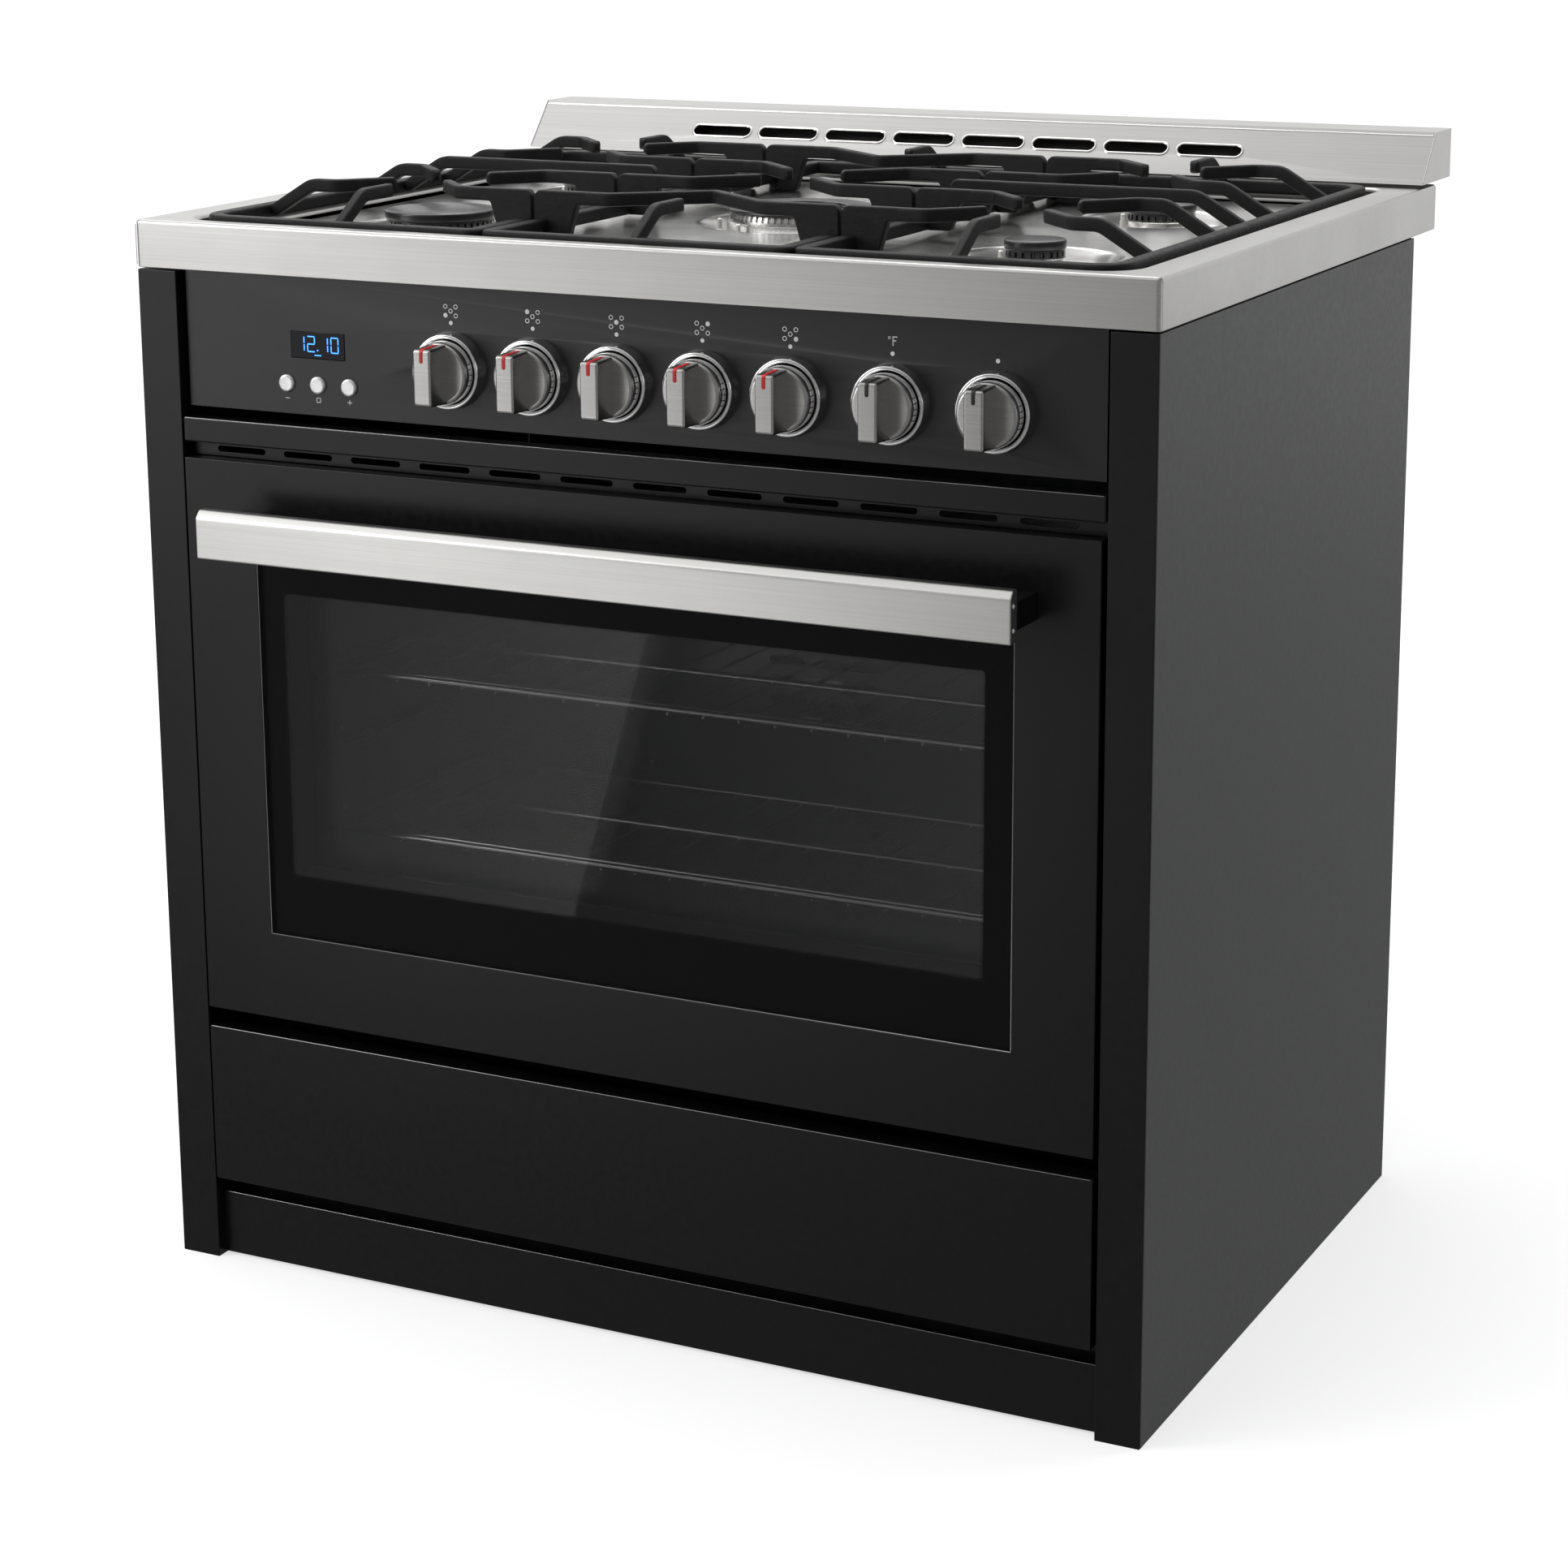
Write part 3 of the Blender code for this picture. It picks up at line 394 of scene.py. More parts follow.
def fill_spangle(tree: Tree, depth: Socket, cells: Socket) -> tuple[Socket, Socket, Socket]:
    """Zinc spangle or enamel speckle: random cells crossed with fine noise."""
    random = add_node(tree, "TexVoronoi", links={"Vector": object_place(tree), "Scale": cells})
    level = add_node(tree, "SeparateColor", links={"Color": random.outputs["Color"]}).outputs[0]
    fine = noise(tree, 420.0, detail=2.0, rough=0.6)
    return level, ranged(tree, fine, 0.0, 1.0), combined(tree, fine, depth)


class Texture(Enum):
    """Surface textures that the finishes share."""

    BRUSHED = "Brushed grain"
    CAST = "Cast skin"
    SPANGLE = "Spangle and speckle"

    def group(self) -> Tree:
        """The node group of this texture, made on first use.

        Returns:
            A group with inputs Depth and Cells and outputs Streak, Smudge and Height.
        """
        if self.value in bpy.data.node_groups:
            return bpy.data.node_groups[self.value]
        tree = bpy.data.node_groups.new(self.value, "ShaderNodeTree")
        for label, value in (("Depth", 1.0), ("Cells", 300.0)):
            entry = tree.interface.new_socket(name=label, in_out="INPUT", socket_type="NodeSocketFloat")
            entry.default_value = value
        for label in ("Streak", "Smudge", "Height"):
            tree.interface.new_socket(name=label, in_out="OUTPUT", socket_type="NodeSocketFloat")
        given, out = tree.nodes.new("NodeGroupInput"), tree.nodes.new("NodeGroupOutput")
        fill = {Texture.BRUSHED: fill_brushed, Texture.CAST: fill_cast, Texture.SPANGLE: fill_spangle}[self]
        results = fill(tree, given.outputs["Depth"], given.outputs["Cells"])
        for label, socket in zip(("Streak", "Smudge", "Height"), results):
            tree.links.new(socket, out.inputs[label])
        return tree


@dataclass(frozen=True)
class Finish:
    """A procedural finish on one of the shared textures: linear colours, and a range of roughness."""

    name: str
    slot: str
    low: Point
    high: Point
    rough: tuple[float, float]
    metallic: float = 0.0
    texture: Texture = Texture.CAST
    depth: float = 0.2
    bump: float = 0.0002
    cells: float = 300.0
    coat: float = 0.0
    alpha: float = 1.0
    glow: float = 0.0
    specular: float = 0.5
    by_smudge: bool = False

    def build(self) -> bpy.types.Material:
        """Make the material: colour between low and high, roughness and bump from the texture.

        Returns:
            The material.
        """
        mat = bpy.data.materials.new(self.name)
        mat.use_nodes = True
        tree = mat.node_tree
        bsdf = tree.nodes["Principled BSDF"]
        constants = {"Metallic": self.metallic, "Coat Weight": self.coat, "Coat Roughness": COAT_ROUGH,
                     "Alpha": self.alpha, "Specular IOR Level": self.specular}
        for label, value in constants.items():
            bsdf.inputs[label].default_value = value
        group = add_node(tree, "Group")
        group.node_tree = self.texture.group()
        group.inputs["Depth"].default_value = self.depth
        group.inputs["Cells"].default_value = self.cells
        ramp = add_node(tree, "Mix")
        ramp.data_type = "RGBA"
        ramp.inputs["A"].default_value = (*self.low, 1)
        ramp.inputs["B"].default_value = (*self.high, 1)
        tree.links.new(group.outputs["Smudge" if self.by_smudge else "Streak"], ramp.inputs["Factor"])
        tree.links.new(ramp.outputs["Result"], bsdf.inputs["Base Color"])
        tree.links.new(ranged(tree, group.outputs["Smudge"], *self.rough, 0.0, 1.0), bsdf.inputs["Roughness"])
        if self.bump:
            relief = add_node(tree, "Bump", {"Strength": 1.0, "Distance": self.bump},
                              {"Height": group.outputs["Height"]})
            tree.links.new(relief.outputs["Normal"], bsdf.inputs["Normal"])
        if self.glow:
            tree.links.new(ramp.outputs["Result"], bsdf.inputs["Emission Color"])
            bsdf.inputs["Emission Strength"].default_value = self.glow
        return mat


def grey(level: float) -> Point:
    """A neutral colour."""
    return level, level, level


BRUSHED, SPANGLE = Texture.BRUSHED, Texture.SPANGLE
BLACK = ((0.0035, 0.0035, 0.0038), (0.0050, 0.0050, 0.0053))
FINISHES = {
    "stainless": Finish("brushed_stainless", "stainless", (0.50, 0.495, 0.485), (0.59, 0.585, 0.575),
                        (0.28, 0.35), 1.0, BRUSHED, 0.10, 0.0001),
    "handle": Finish("brushed_handle", "stainless", (0.60, 0.595, 0.58), (0.69, 0.685, 0.67),
                     (0.28, 0.35), 1.0, BRUSHED, 0.10, 0.0001),
    "well": Finish("well_stainless", "stainless", (0.60, 0.595, 0.585), (0.70, 0.695, 0.685),
                   (0.20, 0.30), 1.0, BRUSHED, 0.08, 0.0001),
    "bright": Finish("bright_stainless", "stainless", (0.72, 0.71, 0.70), (0.80, 0.79, 0.78),
                     (0.14, 0.22), 1.0, BRUSHED, 0.05),
    "burner": Finish("burner_steel", "stainless", (0.62, 0.61, 0.60), (0.78, 0.77, 0.75),
                     (0.22, 0.32), 1.0, depth=0.08, bump=0.0001),
    "iron": Finish("matte_cast_iron", "cast_iron", grey(0.0045), grey(0.0095), (0.42, 0.56),
                   depth=0.6, bump=0.0006, by_smudge=True, specular=0.24),
    "cap": Finish("cap_enamel", "cap_enamel", (0.006, 0.006, 0.0065), (0.012, 0.012, 0.0125),
                  (0.30, 0.40), depth=0.25, bump=0.00012, coat=0.25),
    "body": Finish("satin_black", "black_steel", *BLACK, (0.28, 0.34), depth=0.05, bump=0.00003,
                   specular=0.32, by_smudge=True),
    "panel": Finish("satin_black_fascia", "black_steel", *BLACK, (0.30, 0.36), depth=0.05,
                    bump=0.00003, by_smudge=True),
    # Painted highlight: light grey metal for thin beads along folded edges, standing in for light caught by
    # their rounded edges.
    "painted_glint": Finish("painted_highlight_edge", "black_steel", grey(0.22), grey(0.30), (0.18, 0.26), 1.0,
                    depth=0.03, bump=0.00003),
    "side": Finish("satin_grey", "grey_steel", (0.050, 0.051, 0.053), (0.057, 0.058, 0.060),
                   (0.42, 0.50), depth=0.06, bump=0.00004, specular=0.4, by_smudge=True),
    "zinc": Finish("zinc_plate", "zinc_steel", (0.44, 0.45, 0.46), (0.53, 0.54, 0.55),
                   (0.38, 0.52), 1.0, SPANGLE, 0.1, 0.0001, 150.0),
    "enamel": Finish("oven_enamel", "oven_enamel", (0.055, 0.058, 0.064), (0.110, 0.115, 0.125),
                     (0.16, 0.26), 0.0, SPANGLE, 0.1, 0.0001, 700.0, coat=0.3),
    "rack": Finish("rack_chrome", "rack_chrome", grey(0.70), grey(0.82), (0.12, 0.22), 1.0, depth=0.05),
    "knob": Finish("satin_nickel", "knob_metal", (0.40, 0.395, 0.385), (0.50, 0.495, 0.485),
                   (0.24, 0.32), 1.0, BRUSHED, 0.08),
    "chrome": Finish("knob_chrome", "knob_metal", grey(0.66), grey(0.78), (0.06, 0.12), 1.0, depth=0.03),
    "button": Finish("button_silver", "button_metal", grey(0.62), grey(0.78), (0.18, 0.28), 0.6, depth=0.05),
    "glass": Finish("smoked_glass", "dark_glass", (0.006, 0.006, 0.007), (0.010, 0.010, 0.011),
                    (0.004, 0.008), depth=0.0, bump=0.0, alpha=0.24, specular=0.3),
    "frit": Finish("black_frit", "dark_glass", grey(0.0015), grey(0.003), (0.35, 0.45), 0.0,
                   SPANGLE, 0.02, 0.00001, 900.0, specular=0.1),
    "window": Finish("display_window", "display_plastic", (0.004, 0.004, 0.006), (0.008, 0.008, 0.011),
                     (0.05, 0.09), depth=0.0, bump=0.0, specular=0.15),
    "digit": Finish("display_blue", "display_plastic", (0.03, 0.20, 0.85), (0.06, 0.30, 1.0),
                    (0.3, 0.4), depth=0.02, glow=2.2),
    "gasket": Finish("woven_gasket", "seal_rubber", grey(0.05), grey(0.13), (0.75, 0.9), 0.0,
                     SPANGLE, 0.6, 0.0004, 900.0),
    "rubber": Finish("foot_rubber", "seal_rubber", grey(0.015), grey(0.03), (0.7, 0.85), depth=0.4),
    "white": Finish("white_print", "black_steel", grey(0.72), grey(0.80), (0.4, 0.5), depth=0.05),
    "red": Finish("red_print", "knob_metal", (0.42, 0.008, 0.010), (0.55, 0.014, 0.016),
                  (0.32, 0.42), depth=0.05),
    "ink": Finish("black_print", "knob_metal", grey(0.008), grey(0.014), (0.35, 0.45), depth=0.05),
    "ceramic": Finish("igniter_ceramic", "cap_enamel", (0.68, 0.66, 0.62), (0.80, 0.78, 0.74),
                      (0.3, 0.5), depth=0.1),
}
BUILT: dict[str, bpy.types.Material] = {}


def finish(key: str) -> bpy.types.Material:
    """The material of a named finish, made on first use."""
    if key not in BUILT:
        BUILT[key] = FINISHES[key].build()
    return BUILT[key]


# -------------------------------------------------------------------------------- pieces
def bind(name: str, mesh: bpy.types.Mesh, key: str, body: str, stands_for: Sequence[str],
         sharp: float) -> bpy.types.Object:
    """Put a mesh into the scene as a piece of the range.

    Args:
        name: the piece's name.
        mesh: its finished mesh.
        key: its finish.
        body: the body that it moves with.
        stands_for: CAD nodes that it replaces.
        sharp: angle in radians above which an edge is shaded sharp.

    Returns:
        The object.
    """
    mesh.materials.clear()
    mesh.materials.append(finish(key))
    mesh.shade_smooth()
    mesh.set_sharp_from_angle(angle=sharp)
    obj = bpy.data.objects.new(name, mesh)
    bpy.context.scene.collection.objects.link(obj)
    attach(obj, str(getattr(body, "value", body)))
    if stands_for:
        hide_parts(*stands_for)
    LOG.info("piece %s", name)
    return obj


def make(name: str, shells: Sequence[Shell], key: str, body: str = Body.FIXED,
         stands_for: Sequence[str] = (), sharp: float = 0.7) -> None:
    """Make one piece from shells.

    Args:
        name: the piece's name.
        shells: the surfaces that it is made of.
        key, body, stands_for, sharp: as in `bind`.
    """
    starts = np.cumsum([0] + [len(shell.points) for shell in shells[:-1]])
    points = np.concatenate([shell.points for shell in shells])
    quads = np.concatenate([shell.quads + start for shell, start in zip(shells, starts)])
    polygons = [[v + start for v in poly] for shell, start in zip(shells, starts) for poly in shell.polygons]
    loops = np.concatenate([quads.ravel(), np.array([v for poly in polygons for v in poly], int)])
    totals = np.array([4] * len(quads) + [len(poly) for poly in polygons], np.int32)
    mesh = bpy.data.meshes.new(name)
    mesh.vertices.add(len(points))
    mesh.vertices.foreach_set("co", points.astype(np.float32).ravel())
    mesh.loops.add(len(loops))
    mesh.loops.foreach_set("vertex_index", loops.astype(np.int32))
    mesh.polygons.add(len(totals))
    mesh.polygons.foreach_set("loop_start", (np.cumsum(totals) - totals).astype(np.int32))
    mesh.update(calc_edges=True)
    mesh.validate()
    even = bind(name, mesh, key, body, stands_for, sharp).modifiers.new("even_normals", "WEIGHTED_NORMAL")
    even.keep_sharp = True
    even.weight = 50


def fold(node: str, key: str, radius: float, body: str = Body.FIXED) -> None:
    """Copy of a CAD sheet-metal node with its triangles merged into flat faces and its folds rounded.

    Args:
        node: the CAD node.
        key: its finish.
        radius: radius of its folds.
        body: the body that it moves with.
    """
    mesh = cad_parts[node].data.copy()
    shape = bmesh.new()
    shape.from_mesh(mesh)
    bmesh.ops.remove_doubles(shape, verts=shape.verts, dist=MERGE)
    bmesh.ops.dissolve_limit(shape, angle_limit=COPLANAR, verts=shape.verts, edges=shape.edges)
    shape.to_mesh(mesh)
    shape.free()
    bevel = bind(node + "_sheet", mesh, key, body, [node], FOLD_SHARP).modifiers.new("folds", "BEVEL")
    bevel.width = radius
    bevel.segments = 3
    bevel.limit_method = "ANGLE"
    bevel.angle_limit = FOLD_ANGLE
    bevel.harden_normals = True


def hem(name: str, corners: Sequence[Point], body: str = Body.FIXED) -> None:
    """Thin light bead through the given corners: a painted highlight along a sheet's folded edge."""
    make(name, [swept(np.array(corners, float), circle(0.0009), up=(0, 1, 0))], "painted_glint", body, sharp=1.5)


def top_painted_highlight(name: str, node: str, inset: float, body: str = Body.FIXED) -> None:
    """Painted highlight: light bead along the upper front edge of a CAD node, `inset` inside its box."""
    low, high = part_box(node)
    hem(name, [(x, low.y + inset, high.z - inset) for x in (low.x + MARGIN, high.x - MARGIN)], body)


def dress(node: str, key: str) -> None:
    """Give a CAD node that stays as it is a named finish."""
    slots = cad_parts[node].data.materials
    slots.clear()
    slots.append(finish(key))


def centre_of(node: str) -> np.ndarray:
    """Middle of a CAD node's box."""
    low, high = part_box(node)
    return (np.array(low) + np.array(high)) / 2


def foot_of(node: str) -> np.ndarray:
    """Middle of a CAD node's box, at height zero."""
    return centre_of(node) * np.array([1, 1, 0])


# ------------------------------------------------------------------------------- cooktop
def stations(low: float, high: float, centres: Sequence[float], reach: float = 0.090,
             fine: float = 0.0018, coarse: float = 0.006) -> np.ndarray:
    """Places along a line, closer together round some centres.

    Args:
        low, high: the line's ends.
        centres: the places that need a finer step.
        reach: distance from a centre within which the step is fine.
        fine, coarse: the two steps.

    Returns:
        The places, from low to high.
    """
    places = [low]
    while places[-1] < high - 1e-6:
        near = min(abs(places[-1] - c) for c in centres) < reach
        places.append(min(places[-1] + (fine if near else coarse), high))
    return np.array(places)


@dataclass
class Cooktop:
    """Pressed stainless top: fascia, rounded flange, well wall, well floor with its dishes."""

    fascia: float = 0.0396
    corner: float = 0.004
    edge: float = 0.0032
    rim: float = 0.0045
    well_in: float = 0.0335
    well_front: float = 0.0200
    well_back: float = 0.0450
    well_radius: float = 0.030
    well_depth: float = 0.016
    overlap: float = 0.024
    floor_in: float = 0.0065
    floor_tuck: float = 0.002
    dish_lip: float = 0.003
    dish_wall: float = 0.017
    dishes: dict[str, tuple[float, float]] = field(default_factory=lambda: {
        **{"burner_cap_" + place: (0.068, 0.014) for place in PLACES}, "burner_cap_wok_ring": (0.088, 0.019)})

    def __post_init__(self) -> None:
        """Read the sheet's outline from the frame."""
        low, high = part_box("cooktop")
        self.x1, self.y0, self.y1, self.z1 = high.x, low.y, high.y, high.z
        self.z0 = self.z1 - self.fascia

    def ring(self, base: tuple[float, ...], grow: float, z: float) -> np.ndarray:
        """Closed ring at height z: the rounded rectangle `base` grown outwards."""
        x0, x1, y0, y1, r = base
        flat = rounded_rect(x0 - grow, x1 + grow, y0 - grow, y1 + grow, max(r + grow, 0.0006), 8)
        return np.column_stack([flat, np.full(len(flat), z)])

    def skin(self) -> Shell:
        """Rings from the fascia's hem, up and over the flange, down the wall to the floor's edge.

        Returns:
            The open shell; each bend is a quarter circle in six or five steps.
        """
        outer = (-self.x1, self.x1, self.y0, self.y1, self.corner)
        well = (-self.x1 + self.well_in, self.x1 - self.well_in, self.y0 + self.well_front,
                self.y1 - self.well_back, self.well_radius)
        floor = self.z1 - self.well_depth
        hem_profile = ((-0.0016, 0.004), (-0.0015, 0.0004), (-0.0006, 0.0), (0.0, 0.0006))
        rings = [self.ring(outer, grow, self.z0 + dz) for grow, dz in hem_profile]
        for a in np.linspace(0, pi / 2, 7):
            fall = self.edge * (1 - np.sin(a))
            rings.append(self.ring(outer, -self.edge * (1 - np.cos(a)), self.z1 - fall))
        bend = np.linspace(0, pi / 2, 6)
        for a in bend:
            rings.append(self.ring(well, self.rim * (1 - np.sin(a)), self.z1 - self.rim * (1 - np.cos(a))))
        for a in bend:
            rings.append(self.ring(well, -self.rim * (1 - np.cos(a)), floor + self.rim * (1 - np.sin(a))))
        rings.append(self.ring(well, -self.overlap, floor))
        return lofted(np.array(rings), caps=False)

    def floor(self) -> Shell:
        """Height field: the flat floor minus depth * (6t^5 - 15t^4 + 10t^3) across each dish's wall.

        Returns:
            The open shell; its corners are tucked under the skin's rounded ones.
        """
        centres = np.array([centre_of(node) for node in self.dishes])
        side = self.x1 - self.well_in - self.floor_in
        x = stations(-side, side, centres[:, 0])
        y = stations(self.y0 + self.well_front + self.floor_in, self.y1 - self.well_back - self.floor_in,
                     centres[:, 1])
        gx, gy = np.meshgrid(x, y)
        z = np.full(gx.shape, self.z1 - self.well_depth)
        for node, (radius, depth) in self.dishes.items():
            cx, cy, _ = centre_of(node)
            t = np.clip((radius + self.dish_lip - np.hypot(gx - cx, gy - cy)) / self.dish_wall, 0, 1)
            z -= depth * t * t * t * (t * (6 * t - 15) + 10)
        radius = self.well_radius - self.floor_in
        corner_x = x[-1] - radius
        for corner_y, sign in ((y[-1] - radius, 1), (y[0] + radius, -1)):
            beyond = (np.abs(gx) > corner_x) & ((gy - corner_y) * sign > 0)
            z[beyond & (np.hypot(np.abs(gx) - corner_x, gy - corner_y) > radius)] -= self.floor_tuck
        points = np.stack([gx, gy, z], axis=-1).reshape(-1, 3)
        return Shell(points, grid_quads(len(y), len(x), False, False))

    def build(self) -> None:
        """Make the skin, the floor and the welded seams at the front corners."""
        make("cooktop_skin", [self.skin()], "stainless", stands_for=["cooktop"], sharp=1.2)
        make("well_floor", [self.floor()], "well", sharp=1.5)
        seams = []
        for side in (-1, 1):
            x, y = side * (self.x1 - SINK), self.y0 + 0.0004
            path = np.array([(x, y, self.z0 + 0.002), (x, y, self.z1 - 0.004)])
            seams.append(swept(path, circle(0.0010), up=(0, 1, 0)))
        make("corner_seams", seams, "bright")


# -------------------------------------------------------------------------------- grates
@dataclass
class Grate:
    """Cast grate: a frame rail with fingers on sloping legs and plate legs at its joint edges.

    `rows` are the fingers' depths behind the well's front edge, `turn` is how far a tip swings.
    """

    node: str
    rail: tuple[float, float] = (0.013, 0.0115)
    bar: tuple[float, float] = (0.0085, 0.0110)
    rows: tuple[float, ...] = (0.122, 0.262, 0.402, 0.542)
    turn: float = 0.036
    lead: float = 0.027
    drop: float = 0.023
    sole: float = 0.0415

    def __post_init__(self) -> None:
        """Read the casting's limits from the frame."""
        low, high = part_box(self.node)
        self.x0, self.x1, self.y0, self.y1, self.top = low.x, high.x, low.y, high.y, high.z
        self.front = self.y0 - self.lead
        self.rail_z = self.top - self.drop - self.rail[1] / 2
        self.bar_z = self.top - self.bar[1] / 2
        self.section = superellipse(*self.bar, 5.0, 20)
        self.parts: list[Shell] = []

    def frame_rail(self, radii: Sequence[float]) -> None:
        """Closed rail round the casting, its corners rounded by the given radii."""
        inset = self.rail[0] / 2
        x0, x1, y0, y1 = self.x0 + inset, self.x1 - inset, self.y0 + inset, self.y1 - inset
        corners = [(x, y, self.rail_z) for x, y in ((x0, y0), (x1, y0), (x1, y1), (x0, y1))]
        path = smooth_path(corners, radii, 8, closed=True)
        self.parts.append(swept(path, superellipse(*self.rail, 4.5, 20), closed=True))

    def finger(self, plan: Profile, base: tuple[float, float] | None = None) -> None:
        """Level finger along a plan path of (x, depth); `base` adds a sloping leg down to the rail."""
        points = [(x, self.front + depth, self.bar_z) for x, depth in plan]
        if base is not None:
            points.insert(0, (base[0], self.front + base[1], self.rail_z))
        self.parts.append(swept(smooth_path(points, 0.0055, 4), self.section, round_ends=True))

    def upright(self, edge: float, inward: int, depth: float, foot: bool) -> None:
        """Plate leg at a joint edge, from the rail to the top, with a foot on the well's floor.

        Args:
            edge: x of the joint edge.
            inward: 1 or -1, the direction in which the leg reaches into the casting.
            depth: its depth behind the well's front edge.
            foot: carry it down to the floor.
        """
        top, low = self.top, self.rail_z - self.rail[1] / 2
        outline = [(0, low), (0, top - 0.004), (0.004, top), (0.050, top), (0.050, top - 0.011),
                   (0.040, top - 0.011)]
        leg = [(0.031, top - self.sole), (0.013, top - self.sole), (0.011, low)]
        outline += leg if foot else [(0.031, low)]
        flat = smooth_path(oriented([(edge + inward * u, z) for u, z in outline]), 0.0022, 3, closed=True)
        y, half = self.front + depth, self.bar[0] / 2
        self.parts.append(pillow(flat, "y", y - half, y + half, 0.0015, 3))

    def feet(self) -> None:
        """Short pads under the rail near its corners."""
        for x in (self.x0 + 0.0066, self.x1 - 0.0066):
            for y in (self.y0 + 0.060, self.y1 - 0.060):
                pad = rounded_rect(x - 0.0055, x + 0.0055, y - 0.007, y + 0.007, 0.003, 3)
                self.parts.append(pillow(pad, "z", self.top - self.sole - 0.0002, self.rail_z, 0.001, 2))

    def middle_fingers(self, x: float) -> None:
        """Front and rear fingers that point along the depth at one x."""
        for base, top, tip in ((0.036, 0.072, 0.112), (0.628, 0.592, 0.552)):
            self.finger([(x, top), (x, tip)], (x, base))

    def cast(self) -> None:
        """Add the feet and join all parts into the casting's piece."""
        self.feet()
        make(self.node + "_casting", self.parts, "iron", self.node, [self.node], sharp=1.0)


@dataclass
class OuterGrate(Grate):
    """Left or right casting over two burners, with a long bar between them.

    `elbows` and `tips` are where the inner and outer fingers bend and end.
    """

    side: int = 1
    burner_x: float = 0.2745
    outer: float = 0.396
    arm: float = 0.357
    shoulder: float = 0.042
    elbows: tuple[float, float] = (0.211, 0.334)
    tips: tuple[float, float] = (0.2455, 0.2995)

    def build(self) -> None:
        """Rail, ten fingers, the long bar and five plate legs."""
        big, small, s = 0.026, 0.007, self.side
        self.frame_rail([small, big, big, small] if s > 0 else [big, small, small, big])
        joint = self.x0 if s > 0 else self.x1
        root, arm, outer = joint + s * self.shoulder, s * self.arm, s * self.outer
        for k, row in enumerate(self.rows):
            tip = row + (-self.turn if k % 2 else self.turn)
            self.upright(joint, s, row, k in (0, 3))
            self.finger([(root, row), (s * self.elbows[0], row), (s * self.tips[0], tip)])
            self.finger([(arm, row), (s * self.elbows[1], row), (s * self.tips[1], tip)], (outer, row))
        middle = (self.rows[1] + self.rows[2]) / 2
        self.upright(joint, s, middle, False)
        self.finger([(arm, middle), (root, middle)], (outer, middle))
        self.middle_fingers(s * self.burner_x)
        self.cast()


@dataclass
class CentreGrate(Grate):
    """Centre casting: two bowed bars and six fingers round the wok burner."""

    root: float = 0.100
    bows: tuple[float, float] = (0.177, 0.487)

    def build(self) -> None:
        """Rail, plate legs, bowed bars and fingers."""
        self.frame_rail([0.007] * 4)
        front, inner_front, inner_rear, rear = self.rows
        for s in (-1, 1):
            joint = self.x0 if s < 0 else self.x1
            for row in self.rows:
                self.upright(joint, -s, row, row in (front, rear))
            for row, turn in ((inner_front, 0.041), (inner_rear, -0.041)):
                self.finger([(s * self.root, row), (s * 0.069, row), (s * 0.0265, row + turn)])
        for row, apex in zip((front, rear), self.bows):
            self.finger([(-self.root, row), (-0.070, row), (0, apex), (0.070, row), (self.root, row)])
        self.middle_fingers(0)
        self.cast()


# ------------------------------------------------------------------------------- burners
@dataclass
class RingBurner:
    """Round burner: steel base, ported band, loose cap and igniter.

    `ribs` are measured from the rib's radius and the dish, `neck` and `band` from the cap's
    radius and the head's top, `pin` from the dish.
    """

    place: str
    ports: int
    stand: float = 0.0190
    edge: float = 0.0016
    ribs: Profile = ((0.0035, 0), (0.0035, 0.0018), (0.001, 0.0030), (0.0018, 0.0044), (-0.0012, 0.0056))
    neck: Profile = ((-0.0012, -0.0078), (-0.0005, -0.0072), (-0.0005, -0.0064))
    band: tuple[float, ...] = (-0.0066, -0.0053, -0.0051, -0.0013, -0.0011, 0.0002)
    pin: Profile = ((0.0030, 0), (0.0030, 0.009), (0.0022, 0.010))

    def build(self) -> None:
        """Turned base, band with ports cut by a square wave, rounded cap, igniter."""
        node = "burner_cap_" + self.place
        low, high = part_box(node)
        radius, top, centre = (high.x - low.x) / 2, high.z, foot_of(node)
        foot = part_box("burner_head_" + self.place)[1].z
        dish = foot - self.stand
        base = lifted(self.ribs, radius * 1.04, dish) + [(radius - 0.0022, dish + 0.0070)]
        base += lifted(self.neck, radius, foot)
        make("burner_base_" + self.place, [turned(base, centre, sides=96)], "burner",
             stands_for=["burner_head_" + self.place], sharp=0.8)

        def notch(angle: np.ndarray, rad: np.ndarray, height: np.ndarray) -> np.ndarray:
            """Radius falls by 2 mm where cos(ports * angle) is high and the height is in the port."""
            open_height = (height > foot - 0.0052) & (height < foot - 0.0012)
            return rad - 0.0020 * ((np.cos(self.ports * angle) > 0.05) & open_height)

        band = lifted([(-0.0012, z) for z in self.band], radius, foot)
        make("burner_band_" + self.place, [turned(band, centre, sides=self.ports * 8, radial=notch)], "cap",
             sharp=0.5)
        cap = [(radius * 0.5, foot - 0.001), (radius - 0.0008, foot + 0.0001), (radius, foot + 0.0010)]
        cap += [(radius - self.edge * (1 - np.cos(a)), top - self.edge * (1 - np.sin(a)) - 0.0004)
                for a in np.linspace(0, pi / 2, 5)]
        cap += [(radius * 0.8, top - 0.0002), (radius * 0.4, top)]
        make("burner_lid_" + self.place, [turned(cap, centre, sides=96)], "cap", stands_for=[node], sharp=0.9)
        pin = lifted(self.pin, 0, dish) + [(0.0022, foot - 0.0045), (0.0012, foot - 0.0035)]
        tip = centre + np.array([-(radius + 0.0065), 0.004, 0])
        make("igniter_" + self.place, [turned(pin, tip, sides=20)], "ceramic")


